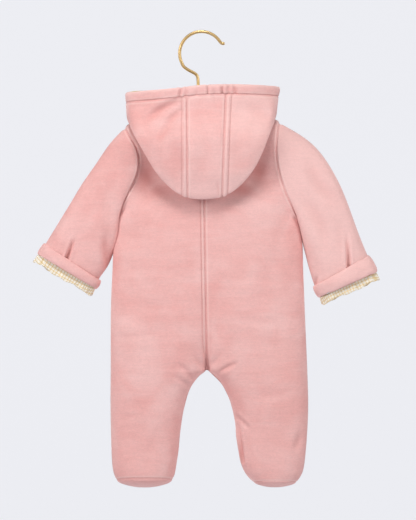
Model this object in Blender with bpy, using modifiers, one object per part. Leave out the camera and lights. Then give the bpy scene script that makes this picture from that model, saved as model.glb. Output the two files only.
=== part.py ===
"""Padded, footed baby snowsuit with a three-panel hood, hung on a bent wire hanger.

Frame: metres, +Z up. The wearer faces -Y and their left is +X. The origin is the
inner top of the hook, where a rail bears. All tables below are in millimetres.
"""

import math

import bmesh
import bpy
import numpy as np
from mathutils import Matrix

MM = 0.001
SEAM = 0.3  # open space left between sewn pieces
ROUND = 2.5  # exponent of the padded sections, 2 is an ellipse

# ---- the body ---------------------------------------------------------------
WALL = 4.6  # velour, wadding and lining together
PINCH = 0.55  # share of the wall left where a seam squeezes the wadding
PINCH_NEXT = 0.875  # the same one point further from the seam
CENTRE_X = -1.8  # centre seam at the neck
CENTRE_LEAN = 0.0158  # sideways drift of the centre seam for each mm of fall
NECK_Z = -105.0
CROTCH_Z = -473.2
SOLE_Z = {"left": -622.0, "right": -627.0}
YOKE_Z = -175.0  # the rows lie level from here down
RIDGE_Z = -94.0  # shoulder ridge carried across the neck
NECK_COLUMN = 3  # the column that runs up to the side of the neck
SHOULDER_ROUNDING = 42.0
SHOULDER_BOW = 1.2  # the shoulder ridge falls faster towards the armhole
ARM_ROUNDING = 174.0  # the depth at the armhole grows over this height
CROTCH_ROUNDING = 95.0
LEG_ROUNDING = 46.0
LOBE_START = 120.0  # the trunk begins to part into legs this far above the crotch
LOBE_FALL = 170.0
LEG_CREST = 0.62  # the leg is deepest at this share of the half breadth
DIP = {"back": 16.0, "front": 28.0}  # fall of the neckline below the ridge
ZIP_HALF = 4.6  # half the open width between the front edges
ZIP_Z = -436.0
TOE_DROP = {"left": 9.0, "right": 5.0}  # how far the toe hangs below the heel
ANKLE_Z = -575.0  # the foot begins to tip down here
ANKLE_FALL = 45.0

DEPTH = (
    ("z", "back", "front"),
    (-94.0, 31.0, 31.0),
    (-175.0, 31.0, 32.0),
    (-290.0, 31.0, 34.0),
    (-400.0, 30.0, 34.0),
    (-473.2, 27.0, 29.0),
    (-530.0, 24.5, 26.0),
    (-575.0, 23.5, 27.0),
    (-600.0, 24.5, 38.0),
    (-613.0, 25.0, 54.0),
    (-627.0, 25.0, 62.0),
)
# Half breadth from the centre seam to the armhole, then to the side seam.
BREADTH = {
    "left": (
        ("z", "breadth"),
        (-131.6, 109.4),
        (-142.8, 104.7),
        (-154.0, 96.0),
        (-175.0, 89.1),
        (-197.4, 91.4),
        (-218.4, 102.4),
        (-233.8, 111.3),
        (-250.6, 118.0),
        (-289.8, 124.2),
        (-329.0, 129.9),
        (-373.8, 133.6),
        (-471.8, 135.5),
        (-530.6, 136.7),
        (-597.8, 135.9),
        (-611.8, 134.0),
        (-627.0, 126.0),
    ),
    "right": (
        ("z", "breadth"),
        (-124.6, 107.0),
        (-148.4, 102.7),
        (-175.0, 101.3),
        (-207.2, 107.8),
        (-236.0, 118.5),
        (-263.2, 131.0),
        (-303.8, 136.2),
        (-340.2, 137.9),
        (-407.4, 139.6),
        (-474.6, 141.4),
        (-519.4, 142.1),
        (-555.8, 140.1),
        (-597.8, 135.8),
        (-611.8, 133.4),
        (-627.0, 123.0),
    ),
}
TIP_Z = {"left": -131.6, "right": -124.6}
UNDERARM_Z = {"left": -250.6, "right": -263.2}
# Half the space between the legs; the root of the fall below the crotch.
INSEAM = {
    "left": (
        ("fall", "half_gap"),
        (0.0, 0.15),
        (1.4, 4.2),
        (12.6, 16.9),
        (23.8, 24.2),
        (46.2, 31.5),
        (68.6, 36.1),
        (113.4, 42.4),
        (135.8, 45.9),
        (154.0, 53.0),
    ),
    "right": (
        ("fall", "half_gap"),
        (0.0, 0.15),
        (1.4, 4.0),
        (12.6, 16.9),
        (23.8, 24.8),
        (46.2, 32.9),
        (68.6, 38.1),
        (113.4, 43.0),
        (135.8, 47.6),
        (154.0, 63.0),
    ),
}
PANEL_COLUMNS = 9
YOKE_ROWS = 4
ARMHOLE_ROWS = 5
TRUNK_ROWS = (0.08, 0.2, 0.36, 0.53, 0.68, 0.8, 0.86, 0.92, 0.98, 1.0)
LEG_ROWS = (0.012, 0.06, 0.14, 0.26, 0.42, 0.58, 0.72, 0.83, 0.91, 0.96, 1.0)

# ---- sleeves and cuffs --------------------------------------------------------
SLEEVE_WALL = 4.2
SLEEVE_SAMPLES = 11
ARMHOLE_BLEND = 0.42  # share of the sleeve over which the armhole's form dies out
ARMHOLE_DEPTH = 24.0  # half depth of the armhole
ARMHOLE_BOW = 1.5
RING_SPREAD = 0.9  # rings of the sleeve lie a little closer towards the cuff
SLEEVE = {
    "left": (
        ("top_x", "top_z", "under_x", "under_z", "depth"),
        (107.1, -131.6, 113.6, -250.6, 24.0),
        (115.5, -139.0, 116.6, -259.7, 23.5),
        (130.9, -157.5, 119.4, -274.4, 23.0),
        (149.1, -183.4, 122.9, -291.2, 22.0),
        (167.3, -210.7, 126.2, -306.6, 21.0),
        (184.8, -238.7, 130.4, -320.6, 20.0),
        (200.9, -264.6, 136.2, -333.2, 19.0),
        (217.0, -292.1, 143.5, -344.4, 18.0),
        (226.6, -305.4, 146.9, -354.8, 17.0),
    ),
    "right": (
        ("top_x", "top_z", "under_x", "under_z", "depth"),
        (-109.2, -124.6, -135.4, -263.2, 24.0),
        (-123.9, -131.6, -139.4, -271.6, 23.5),
        (-146.3, -146.3, -142.0, -284.2, 23.0),
        (-167.3, -166.6, -144.6, -299.6, 22.0),
        (-184.1, -191.8, -147.0, -313.6, 21.0),
        (-198.8, -221.2, -149.4, -326.2, 20.0),
        (-212.1, -257.6, -152.6, -338.8, 19.0),
        (-230.3, -306.6, -156.9, -353.4, 18.0),
        (-241.6, -328.3, -162.2, -365.1, 17.0),
    ),
}
CUFF = {
    "left": (
        ("top_x", "top_z", "under_x", "under_z", "swell", "along"),
        (221.2, -293.4, 140.0, -346.4, 3.4, 0.89),
        (226.4, -299.2, 140.6, -351.0, 6.0, 0.93),
        (230.6, -306.4, 143.8, -356.6, 5.8, 0.97),
        (230.4, -310.4, 148.3, -359.9, 2.6, 1.00),
    ),
    "right": (
        ("top_x", "top_z", "under_x", "under_z", "swell", "along"),
        (-236.4, -312.0, -155.0, -353.8, 3.4, 0.89),
        (-242.4, -320.4, -155.8, -360.8, 6.0, 0.93),
        (-246.6, -329.8, -159.0, -368.0, 5.8, 0.97),
        (-246.4, -336.4, -165.0, -372.8, 2.6, 1.00),
    ),
}
CUFF_CLEARANCE = 0.5
CUFF_DEPTH = 17.0
FRILL = {"left": 10.0, "right": 8.4}  # lining strip beyond the cuff
FRILL_WALL = 2.4
FRILL_COLUMNS = 52
FRILL_INSET = 0.4  # the strip's root lies this much inside the cuff
FRILL_SUNK = 1.0
FRILL_WAVES = 9
FRILL_WAVE = 1.2
EDGE_WAVES = 5
EDGE_WAVE = 1.2
# How far out each ring of the strip lies, and how much of the waves it has.
FRILL_RINGS = (
    ("reach", "ripple"),
    (0.0, 0.0),
    (0.35, 0.4),
    (0.7, 0.8),
    (1.0, 1.0),
)

# ---- hood ---------------------------------------------------------------------
HOOD_WALL = 3.6
HOOD_CLEARANCE = 3.0  # hood cloth over the body cloth
NECK_SEAM = 0.8
ROLL_RISE = 6.0  # the neck seam allowance stands up before the hood turns over
ROLL_OUT = 3.2
OVER_SHOULDER = 0.3  # first and second control over the body, as shares of the way
OVER_BACK = 0.72
POCKET_SHARE = 0.5  # of the pocket's depth, at the fold
BAG_SWELL = 5.0  # the turned-up side of the hood swells this much at its middle
SHOULDER_SWELL = 2.0
NORMAL_STEP = 0.01  # stations between the points that give the hood's normals
CASING = 14.0
CASING_SWELL = 1.4
CASING_COLUMNS = 48
# Rings of the casing: step along the cloth line, share of the swell, wall thickness.
CASING_RINGS = (
    ("step", "swell", "wall"),
    (6.03, 0.1, 0.55),
    (6.25, 0.45, 1.1),
    (6.55, 0.6, 1.2),
    (6.85, 0.4, 1.0),
    (7.0, 0.0, 0.6),
)
# One row for each line of cloth from the neck, over the fold, up to the hem.
# neck: 0 back centre, 1 side of the neck, 2 front centre.
HOOD = {
    "left": (
        ("neck", "fold_x", "fold_z", "pocket", "hem_x", "hem_y", "hem_z"),
        (0.00, -4.9, -235.2, 15.0, -2.1, 57.0, -75.2),
        (0.28, 22.4, -232.0, 15.0, 23.1, 55.5, -78.0),
        (0.46, 44.7, -218.0, 14.0, 46.9, 52.0, -80.6),
        (0.62, 63.7, -197.4, 13.0, 69.3, 46.0, -82.2),
        (0.76, 80.5, -169.4, 12.0, 88.9, 37.0, -83.2),
        (0.88, 94.5, -141.4, 10.0, 101.5, 25.0, -84.0),
        (1.00, 104.5, -119.4, 0.0, 107.0, 8.0, -84.7),
        (1.14, 99.5, -119.0, -9.0, 101.9, -9.0, -81.6),
        (1.32, 77.0, -123.5, -9.0, 80.2, -22.0, -79.6),
        (1.54, 50.0, -130.5, -8.0, 52.7, -34.0, -87.8),
        (1.76, 25.5, -139.0, -7.0, 26.5, -41.0, -104.0),
        (2.00, 6.0, -143.0, -6.0, 6.0, -44.0, -118.5),
    ),
    "right": (
        ("neck", "fold_x", "fold_z", "pocket", "hem_x", "hem_y", "hem_z"),
        (0.00, -4.9, -235.2, 15.0, -2.1, 57.0, -75.2),
        (0.28, -31.0, -231.0, 15.0, -38.2, 54.5, -74.2),
        (0.46, -51.0, -219.8, 14.0, -58.2, 51.0, -74.4),
        (0.62, -73.5, -193.2, 13.0, -77.2, 45.5, -74.8),
        (0.76, -88.5, -161.7, 12.0, -92.2, 36.5, -75.2),
        (0.88, -98.5, -133.0, 10.0, -103.6, 24.5, -75.6),
        (1.00, -106.0, -113.0, 0.0, -109.6, 8.0, -75.8),
        (1.14, -100.5, -113.5, -9.0, -104.9, -9.0, -74.2),
        (1.32, -78.0, -119.5, -9.0, -84.7, -22.0, -73.6),
        (1.54, -52.0, -128.5, -8.0, -56.2, -34.0, -85.0),
        (1.76, -28.5, -139.0, -7.0, -30.5, -41.0, -103.0),
        (2.00, -10.0, -143.0, -6.0, -10.0, -44.0, -118.5),
    ),
}
HOOD_STATIONS = 12
HOOD_SEAM = 0.88  # the seams lie this far out, counted in stations
SEAM_STEP = 0.012  # half the open seam, counted in stations
SIDE_COLUMNS = 15
CENTRE_COLUMNS = 4
HOOD_ROWS = (0, 0.5, 1, 1.35, 2, 3, 3.5, 3.8, 4, 4.2, 4.6, 5, 5.5, 6)

# ---- soles ----------------------------------------------------------------------
SOLE_RINGS = (1.0, 0.93, 0.75, 0.5, 0.25)  # shares of the outline, inwards
SOLE_SAG = 6.0  # the middle of the sole hangs below its edge
SOLE_SAG_INSIDE = 0.8  # share of the sag that the upper skin has
SOLE_RIM = 3.0
SHORTEST_EDGE = 1.0  # ring points closer than this are one

# ---- soft creases: a trough along a line, on the back (+1) or the front (-1) ----
CREASE_ENDS = 0.35  # share of its depth that a crease keeps at its ends
CREASE_SPAN = (0.06, 0.94)
CREASES = (
    ("piece", "face", "x0", "z0", "x1", "z1", "width", "depth"),
    ("back_left", 1, -4.0, -330.0, -7.5, -470.0, 9.0, 3.2),
    ("back_right", 1, -5.0, -330.0, -8.0, -470.0, 9.0, 3.2),
    ("front_left", -1, -6.0, -436.0, -7.5, -470.0, 9.0, 2.4),
    ("front_right", -1, -8.0, -436.0, -8.0, -470.0, 9.0, 2.4),
    ("back_left", 1, 18.0, -474.0, 46.0, -462.0, 9.0, 2.2),
    ("back_right", 1, -34.0, -476.0, -60.0, -464.0, 9.0, 2.2),
    ("front_left", -1, 20.0, -474.0, 50.0, -466.0, 9.0, 2.4),
    ("front_right", -1, -36.0, -478.0, -66.0, -470.0, 9.0, 2.4),
    ("back_right", 1, -49.0, -534.0, -67.0, -551.0, 8.0, 3.0),
    ("front_left", -1, 60.0, -560.0, 100.0, -572.0, 10.0, 3.4),
    ("front_right", -1, -66.0, -562.0, -112.0, -570.0, 10.0, 3.4),
    ("front_left", -1, 66.0, -582.0, 104.0, -588.0, 9.0, 2.6),
    ("front_right", -1, -74.0, -582.0, -116.0, -588.0, 9.0, 2.6),
    ("sleeve_left", 1, 178.0, -286.0, 189.5, -316.0, 8.0, 5.0),
    ("sleeve_left", 1, 139.0, -262.0, 127.0, -318.0, 11.0, 3.6),
    ("sleeve_left", -1, 170.0, -262.0, 186.0, -312.0, 9.0, 3.6),
    ("sleeve_right", 1, -204.5, -290.0, -206.5, -331.0, 9.0, 4.4),
    ("sleeve_right", 1, -160.0, -312.0, -163.0, -344.0, 9.0, 2.8),
    ("sleeve_right", -1, -190.0, -268.0, -200.0, -322.0, 9.0, 3.4),
    ("hood_side_left", 1, 38.0, -118.0, 78.0, -152.0, 11.0, 2.8),
    ("hood_side_left", 1, 36.0, -148.0, 62.0, -186.0, 11.0, 2.6),
    ("hood_side_right", 1, -52.0, -128.0, -86.0, -148.0, 12.0, 2.0),
    ("hood_casing", 1, -9.0, -68.0, -9.0, -100.0, 6.0, 2.4),
    ("hood_casing", 1, -28.6, -68.0, -27.4, -100.0, 6.0, 2.4),
    ("hood_casing", 1, -47.0, -68.0, -46.0, -98.0, 6.0, 2.2),
    ("hood_casing", 1, 22.0, -68.0, 28.0, -100.0, 7.0, 2.4),
)

# ---- zip and hanger --------------------------------------------------------------
TAPE_THICK = 1.1
TAPE_SINK = 1.6
TAPE_FOOT = 0.8  # the tape ends this far into the closing of the seam
SLIDER_Z = -137.0
SLIDER_SIZE = (8.4, 4.0, 11.0)
SLIDER_PROUD = 1.2  # its centre lies this far over the tapes' skin
SLIDER_EDGE = 0.9
BRIDGE_WIDE = 2.2
BRIDGE_WIRE = 1.0
BRIDGE_RISE = 3.4  # outer height of the bridge over the slider's face
BRIDGE_HALF = 4.0
BRIDGE_CORNER = 1.2
BRIDGE_ROOT = -1.0  # its feet end this deep in the slider
PULL_THICK = 1.3
PULL_LONG = 23.0
PULL_WIDE = 6.4
PULL_BAR = 1.3  # the top bar that turns under the bridge
PULL_SLOT = (3.6, 6.0)
PULL_CORNER = 0.6
PULL_TIP = 0.8  # half width of the rounded tip, as a share of half the width
PULL_PIVOT = 1.5  # height of the bar's axis over the slider's face
WIRE = 2.2  # radius
HOOK_RADIUS = 30.8
HOOK_TURN = (28.0, 212.0)  # the round of the hook, in degrees from its open side
STEM_X = 4.6
STEM_Z = -104.0
HOOK_TIP = (
    ("x", "z"),
    (-32.4, -14.6),
    (-29.6, -14.9),
)
HOOK_NECK = (
    ("x", "z"),
    (25.6, -46.6),
    (19.6, -51.4),
    (11.0, -55.4),
    (6.6, -58.4),
    (STEM_X, -63.0),
    (STEM_X, -80.0),
    (STEM_X, STEM_Z),
)
ARM_REACH = 82.0
ARM_SHIFT = -6.0  # the arms' middle from the stem
ARM_DROOP = 0.0038  # fall for each mm of reach squared

COLOURS = {
    "velour": ((0.80, 0.46, 0.43, 1.0), 0.85, 0.0),
    "check": ((0.86, 0.78, 0.62, 1.0), 0.80, 0.0),
    "tape": ((0.76, 0.45, 0.43, 1.0), 0.75, 0.0),
    "brass": ((0.62, 0.44, 0.20, 1.0), 0.30, 1.0),
}
SIGN = {"left": 1.0, "right": -1.0}


def column(table, name):
    """The named column of a table, as numbers."""
    index = table[0].index(name)
    return np.array([row[index] for row in table[1:]], float)


def eased(at, knots, values):
    """Smooth monotone curve through the knots, level where the values turn."""
    order = np.argsort(knots)
    knots = np.asarray(knots, float)[order]
    values = np.asarray(values, float)[order]
    step = np.diff(knots)
    slope = np.diff(values) / step
    pair = slope[:-1] * slope[1:]
    total = np.where(pair > 0, slope[:-1] + slope[1:], 1.0)
    inner = np.where(pair > 0, 2 * pair / total, 0.0)
    tangent = np.concatenate([slope[:1], inner, slope[-1:]])
    at = np.clip(at, knots[0], knots[-1])
    i = np.clip(np.searchsorted(knots, at, side="right") - 1, 0, len(step) - 1)
    t = (at - knots[i]) / step[i]
    start = values[i] * (1 + 2 * t) * (1 - t) ** 2 + tangent[i] * step[i] * t * (1 - t) ** 2
    return start + values[i + 1] * t * t * (3 - 2 * t) + tangent[i + 1] * step[i] * t * t * (t - 1)


def quarter(share):
    """Height of a padded edge, 0 at the edge and 1 once the share reaches 1."""
    share = np.clip(share, 0.0, 1.0)
    return (1 - (1 - share) ** ROUND) ** (1 / ROUND)


def unit(vectors):
    """The vectors at length one."""
    return vectors / np.maximum(np.linalg.norm(vectors, axis=-1, keepdims=True), 1e-9)


def centre_x(z):
    """Where the centre seam runs at this height."""
    return CENTRE_X - CENTRE_LEAN * (NECK_Z - z)


def depth_at(face, z):
    """Full depth of the back or the front at this height."""
    return eased(z, column(DEPTH, "z"), column(DEPTH, face))


def breadth_at(side, z):
    """Half breadth out to the armhole or the side seam."""
    table = BREADTH[side]
    return eased(z, column(table, "z"), column(table, "breadth"))


def gap_at(side, z):
    """Half the space between the legs, nothing above the crotch."""
    table = INSEAM[side]
    fall = np.sqrt(np.clip(CROTCH_Z - z, 0.0, None))
    return eased(fall, np.sqrt(column(table, "fall")), column(table, "half_gap"))


def end_shares(side, z):
    """Depth shares at the centre seam or inseam, and at the armhole or side seam."""
    inner = quarter((z - CROTCH_Z) / CROTCH_ROUNDING)
    return inner, quarter((np.minimum(z, YOKE_Z) - UNDERARM_Z[side]) / ARM_ROUNDING)


def spread(share, inner, outer):
    """Place across a panel, 0 to 1, with the points drawn to the ends that round off."""
    start = -np.arccos(np.clip(inner, 0, 1) ** (ROUND / 2))
    end = np.arccos(np.clip(outer, 0, 1) ** (ROUND / 2))
    angle = start + (end - start) * share

    def across(a):
        return np.sign(a) * np.abs(np.sin(a)) ** (2 / ROUND)

    return (across(angle) - across(start)) / (across(end) - across(start))


def lift_at(side, breadth, level):
    """Share of the full depth at a distance from the centre seam.

    The trunk falls away to the side seam, less so up the armhole, and each leg to
    its inseam too.
    """
    reach, gap = breadth_at(side, level), gap_at(side, level)
    above = np.clip((level - CROTCH_Z) / CROTCH_ROUNDING, 0, None)
    parting = np.clip((CROTCH_Z + LOBE_START - level) / LOBE_FALL, 0, 1)
    crest = LEG_CREST * reach * parting * parting * (3 - 2 * parting)
    arm = np.clip((level - UNDERARM_Z[side]) / ARM_ROUNDING, 0, None)
    outward = np.hypot(arm, np.clip((reach - breadth) / (reach - crest), 0, None))
    inward = np.hypot(above, np.clip((breadth - gap) / LEG_ROUNDING, 0, None))
    return quarter(outward) * quarter(inward)


def ridge_z(side, breadth):
    """Height of the shoulder ridge at this distance from the centre."""
    neck = neck_half(side)
    slope = np.clip((breadth - neck) / (breadth_at(side, TIP_Z[side]) - neck), 0, SHOULDER_BOW)
    return RIDGE_Z + (TIP_Z[side] - RIDGE_Z) * slope**SHOULDER_BOW


def neck_half(side):
    """Half width of the neck, where the neck column meets the ridge."""
    place = spread(NECK_COLUMN / PANEL_COLUMNS, 1.0, end_shares(side, YOKE_Z)[1])
    return place * breadth_at(side, TIP_Z[side])


def neckline_z(side, face, breadth):
    """Height of the neckline between the two sides of the neck."""
    share = np.clip(breadth / neck_half(side), 0, 1)
    return RIDGE_Z - DIP[face] * np.sqrt(1 - share**2)


def body_point(side, face, share, row):
    """Outer skin of a body panel. Share 0 to 1 goes outwards and row 0 to 4 down."""
    share, row = np.broadcast_arrays(np.asarray(share, float), np.asarray(row, float))
    tip, underarm = TIP_Z[side], UNDERARM_Z[side]
    level = np.interp(row, (0, 1, 2, 3, 4), (tip, YOKE_Z, underarm, CROTCH_Z, SOLE_Z[side]))
    inner, outer = end_shares(side, level)
    inner = np.where(row <= 3, inner, 0.0)
    place = spread(share, inner, outer)
    reach, gap = breadth_at(side, level), gap_at(side, level)
    breadth = gap + place * (reach - gap)
    lift = lift_at(side, breadth, level)
    tip_breadth = place * breadth_at(side, tip)
    top = np.where(
        tip_breadth < neck_half(side) - 1e-6,
        neckline_z(side, face, tip_breadth),
        ridge_z(side, tip_breadth),
    )
    yoke = np.clip((level - YOKE_Z) / (tip - YOKE_Z), 0, 1)
    z = np.where(row < 1, YOKE_Z + (top - YOKE_Z) * yoke, level)
    below = ridge_z(side, tip_breadth) - z
    lift = lift * quarter(below / SHOULDER_ROUNDING)
    depth = depth_at(face, level) * lift
    drop = TOE_DROP[side] * np.clip((ANKLE_Z - level) / ANKLE_FALL, 0, 1)
    turn = 1.0 if face == "back" else -1.0
    fall = drop * (1 - turn * lift) / 2
    x = centre_x(level) + SIGN[side] * breadth
    return np.stack([x, turn * depth, z - fall], -1)


def crease_shift(name, points, normals):
    """Moves skin points in along the soft creases of this piece."""
    points = points.copy()
    for row in CREASES[1:]:
        piece, face, x0, z0, x1, z1, width, depth = row
        if piece != name:
            continue
        start = np.array((x0, z0))
        run = np.array((x1 - x0, z1 - z0))
        place = points[..., [0, 2]] - start
        along = np.clip((place @ run) / (run @ run), 0, 1)
        away = np.linalg.norm(place - along[..., None] * run, axis=-1)
        facing = np.clip(normals[..., 1] * face * 2, 0, 1)
        taper = CREASE_ENDS + (1 - CREASE_ENDS) * np.sin(math.pi * np.clip(along, *CREASE_SPAN))
        inward = depth * taper * facing * np.exp(-((away / (width / 2)) ** 2))
        points -= normals * inward[..., None]
    return points


def normals_of(surface, us, vs, flip, eps=0.002):
    """Outward unit normals of a surface of two parameters, by small steps."""
    along_u = surface(us + eps, vs) - surface(us - eps, vs)
    along_v = surface(us, vs + eps) - surface(us, vs - eps)
    return unit(np.cross(along_u, along_v)) * flip


def mesh_object(name, vertices, faces, finish):
    """A mesh in metres, with its faces turned outwards."""
    mesh = bpy.data.meshes.new(name)
    bm = bmesh.new()
    corners = [bm.verts.new(tuple(float(c) * MM for c in vertex)) for vertex in vertices]
    for face in faces:
        bm.faces.new([corners[i] for i in face])
    bmesh.ops.recalc_face_normals(bm, faces=bm.faces)
    bm.to_mesh(mesh)
    bm.free()
    mesh.shade_smooth()
    obj = bpy.data.objects.new(name, mesh)
    return finished(obj, finish)


def finished(obj, finish):
    """Gives an object its material and puts it in the part's collection."""
    material = bpy.data.materials.get(finish)
    if material is None:
        material = bpy.data.materials.new(finish)
        material.use_nodes = True
        colour, roughness, metallic = COLOURS[finish]
        shader = material.node_tree.nodes["Principled BSDF"]
        shader.inputs["Base Color"].default_value = colour
        shader.inputs["Roughness"].default_value = roughness
        shader.inputs["Metallic"].default_value = metallic
    obj.data.materials.clear()
    obj.data.materials.append(material)
    for old in list(obj.users_collection):
        old.objects.unlink(obj)
    bpy.data.collections["baby_snowsuit"].objects.link(obj)
    return obj


def wall(name, outer, inner, finish, ring=False):
    """Closed cloth wall lofted between an outer and an inner skin of equal grids."""
    rows, columns = outer.shape[:2]
    count = rows * columns
    vertices = np.concatenate([outer.reshape(-1, 3), inner.reshape(-1, 3)])
    faces = []

    def at(i, j, skin):
        return skin * count + i * columns + j % columns

    spans = columns if ring else columns - 1
    for i in range(rows - 1):
        for j in range(spans):
            quad = [(i, j), (i, j + 1), (i + 1, j + 1), (i + 1, j)]
            faces.append([at(a, b, 0) for a, b in quad])
            faces.append([at(a, b, 1) for a, b in reversed(quad)])
    for i in (0, rows - 1):
        for j in range(spans):
            rim = (at(i, j, 0), at(i, j + 1, 0), at(i, j + 1, 1), at(i, j, 1))
            faces.append(rim)
    if not ring:
        for j in (0, columns - 1):
            for i in range(rows - 1):
                rim = (at(i, j, 0), at(i + 1, j, 0), at(i + 1, j, 1), at(i, j, 1))
                faces.append(rim)
    return mesh_object(name, vertices, faces, finish)


def pinched(length, thickness, ends=(True, True)):
    """Wall thickness along a run of points, squeezed at its sewn ends."""
    shares = np.ones(length)
    if ends[0]:
        shares[0], shares[1] = PINCH, PINCH_NEXT
    if ends[1]:
        shares[-1], shares[-2] = PINCH, PINCH_NEXT
    return thickness * shares


def panel_rows():
    """Row values of a body panel from the shoulder down to the sole."""
    yoke = 1 - np.cos(np.linspace(0, math.pi / 2, YOKE_ROWS + 1))
    arm = 1 + np.sin(np.linspace(0, math.pi / 2, ARMHOLE_ROWS + 1))[1:]
    trunk = 2 + np.array(TRUNK_ROWS)
    legs = 3 + np.array(LEG_ROWS)
    return np.concatenate([yoke, arm, trunk, legs])


def armhole_frame(side):
    """Upper and lower end of the armhole in its own plane."""
    table = SLEEVE[side]
    top = np.array([column(table, "top_x")[0], 0.0, column(table, "top_z")[0]])
    under = np.array([column(table, "under_x")[0], 0.0, column(table, "under_z")[0]])
    return top, under


def armhole_normal(side, points):
    """Normals of the armhole's edge within the armhole's own plane."""
    top, under = armhole_frame(side)
    axis = unit(top - under)
    half = np.linalg.norm(top - under) / 2
    place = ((points - (top + under) / 2) @ axis) / half
    place = np.clip(place, -1, 1)
    rise = np.sign(place) * np.abs(place) ** ARMHOLE_BOW / half
    swell = np.sqrt(np.clip(1 - place**2, 0, 1)) / ARMHOLE_DEPTH
    turn = np.where(points[..., 1] < 0, -1.0, 1.0)
    return unit(rise[..., None] * axis + (swell * turn)[..., None] * np.array((0, 1.0, 0)))


def body_panel(side, face):
    """One panel from the shoulder to the foot, with its seams opened by the gap."""
    name = f"{face}_{side}"
    rows = panel_rows()
    shares = np.linspace(0, 1, PANEL_COLUMNS + 1)
    us, vs = np.meshgrid(shares, rows)
    outer = body_point(side, face, us, vs)
    turn = 1.0 if face == "back" else -1.0
    flip = turn * SIGN[side]

    def surface(u, v):
        return body_point(side, face, np.clip(u, 0, 1), np.clip(v, 0, 4))

    normals = normals_of(surface, us, vs, flip)
    crotch = int(np.argmin(np.abs(rows - 3)))
    underarm = int(np.argmin(np.abs(rows - 2)))
    normals[: crotch + 1, 0, 0] = 0.0
    normals[crotch:, 0, 1] = 0.0
    normals[underarm:, -1, 1] = 0.0
    normals[0, NECK_COLUMN:, 1] = 0.0
    normals[crotch, 0] = (0.0, 0.0, -1.0)
    normals[-1, :, 2] = 0.0
    normals[-2, :, 2] *= 0.5
    normals = unit(normals)
    normals[: underarm + 1, -1] = armhole_normal(side, outer[: underarm + 1, -1])
    outer = crease_shift(name, outer, normals)
    thick = np.outer(
        pinched(len(rows), 1.0, (True, False)),
        pinched(len(shares), WALL),
    )
    inner = outer - normals * thick[..., None]
    # The seams open: back from front at Y = 0, left from right at the centre.
    for skin in (outer, inner):
        skin[..., 1] = turn * np.maximum(turn * skin[..., 1], SEAM / 2)
        centre = centre_x(skin[: crotch + 1, 0, 2])
        opening = SEAM / 2
        if face == "front":
            opening = np.where(skin[: crotch + 1, 0, 2] > ZIP_Z, ZIP_HALF, SEAM / 2)
        skin[: crotch + 1, 0, 0] = centre + SIGN[side] * opening
    wall(name, outer, inner, "velour")
    return outer, inner


def armhole_ring(back, front, rows):
    """The sleeve's first ring: down the back edge and up the front edge."""
    down = back[:rows, -1]
    up = front[:rows, -1][::-1]
    ring = np.concatenate([down, up[1:-1]])
    ring[0, 1] = 0.0
    ring[rows - 1, 1] = 0.0
    return ring


def sleeve_section(table, at, place, turn, first):
    """Ring of the sleeve at a share of its length, the armhole's form dying out."""
    steps = np.linspace(0, 1, len(table) - 1)
    picks = {name: eased(at, steps, column(table, name)) for name in table[0]}
    top = np.array((float(picks["top_x"]), 0.0, float(picks["top_z"])))
    under = np.array((float(picks["under_x"]), 0.0, float(picks["under_z"])))
    centre, half = (top + under) / 2, (top - under) / 2
    swell = float(picks["depth"]) * (1 - np.abs(place) ** ROUND) ** (1 / ROUND) * turn
    ring = centre + place[:, None] * half + swell[:, None] * np.array((0, 1.0, 0))
    fade = np.clip(1 - at / ARMHOLE_BLEND, 0, 1)
    fade = fade * fade * (3 - 2 * fade)
    return ring + fade * first


def ring_parameters(side, ring):
    """Place from -1 under the arm to 1 on top, and the face, for each ring point."""
    top, under = armhole_frame(side)
    half = (top - under) / 2
    place = np.clip((ring - (top + under) / 2) @ half / (half @ half), -1, 1)
    rows = YOKE_ROWS + ARMHOLE_ROWS
    turn = np.ones(len(ring))
    turn[rows + 1 :] = -1.0
    place[0], place[rows] = 1.0, -1.0
    return place, turn


def grid_normals(grid, flip):
    """Normals of a ring grid from its neighbours."""
    around = np.roll(grid, -1, axis=1) - np.roll(grid, 1, axis=1)
    along = np.gradient(grid, axis=0)
    return unit(np.cross(around, along)) * flip


def sleeve(side, skins):
    """Sleeve tube from the armhole to the hand end of the cuff."""
    rows = YOKE_ROWS + ARMHOLE_ROWS + 1
    table = SLEEVE[side]
    ring = armhole_ring(skins["back"][0], skins["front"][0], rows)
    ring_inner = armhole_ring(skins["back"][1], skins["front"][1], rows)
    place, turn = ring_parameters(side, ring)
    first = ring - sleeve_section(table, 0.0, place, turn, 0.0)
    steps = np.linspace(0, 1, SLEEVE_SAMPLES) ** RING_SPREAD
    outer = np.stack([sleeve_section(table, at, place, turn, first) for at in steps])
    normals = grid_normals(outer, -SIGN[side])
    outer = crease_shift(f"sleeve_{side}", outer, normals)
    inner = outer - normals * SLEEVE_WALL
    axis = np.array((SIGN[side], 0.0, 0.0))
    outer[0] = ring + axis * SEAM
    inner[0] = ring_inner + axis * SEAM
    wall(f"sleeve_{side}", outer, inner, "velour", ring=True)
    return place, turn


def cuff_ring(row, place, turn, depth):
    """One ring of the cuff from its table row."""
    top_x, top_z, under_x, under_z = row[:4]
    top, under = np.array((top_x, 0.0, top_z)), np.array((under_x, 0.0, under_z))
    centre, half = (top + under) / 2, (top - under) / 2
    swell = depth * (1 - np.abs(place) ** ROUND) ** (1 / ROUND) * turn
    return centre + place[:, None] * half + swell[:, None] * np.array((0, 1.0, 0))


def ring_places(count):
    """Place, face and angle of points spread evenly round a cuff."""
    angle = np.linspace(0, 2 * math.pi, count, endpoint=False)
    place = np.sign(np.cos(angle)) * np.abs(np.cos(angle)) ** (2 / ROUND)
    return place, np.where(np.sin(angle) < 0, -1.0, 1.0), angle


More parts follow.
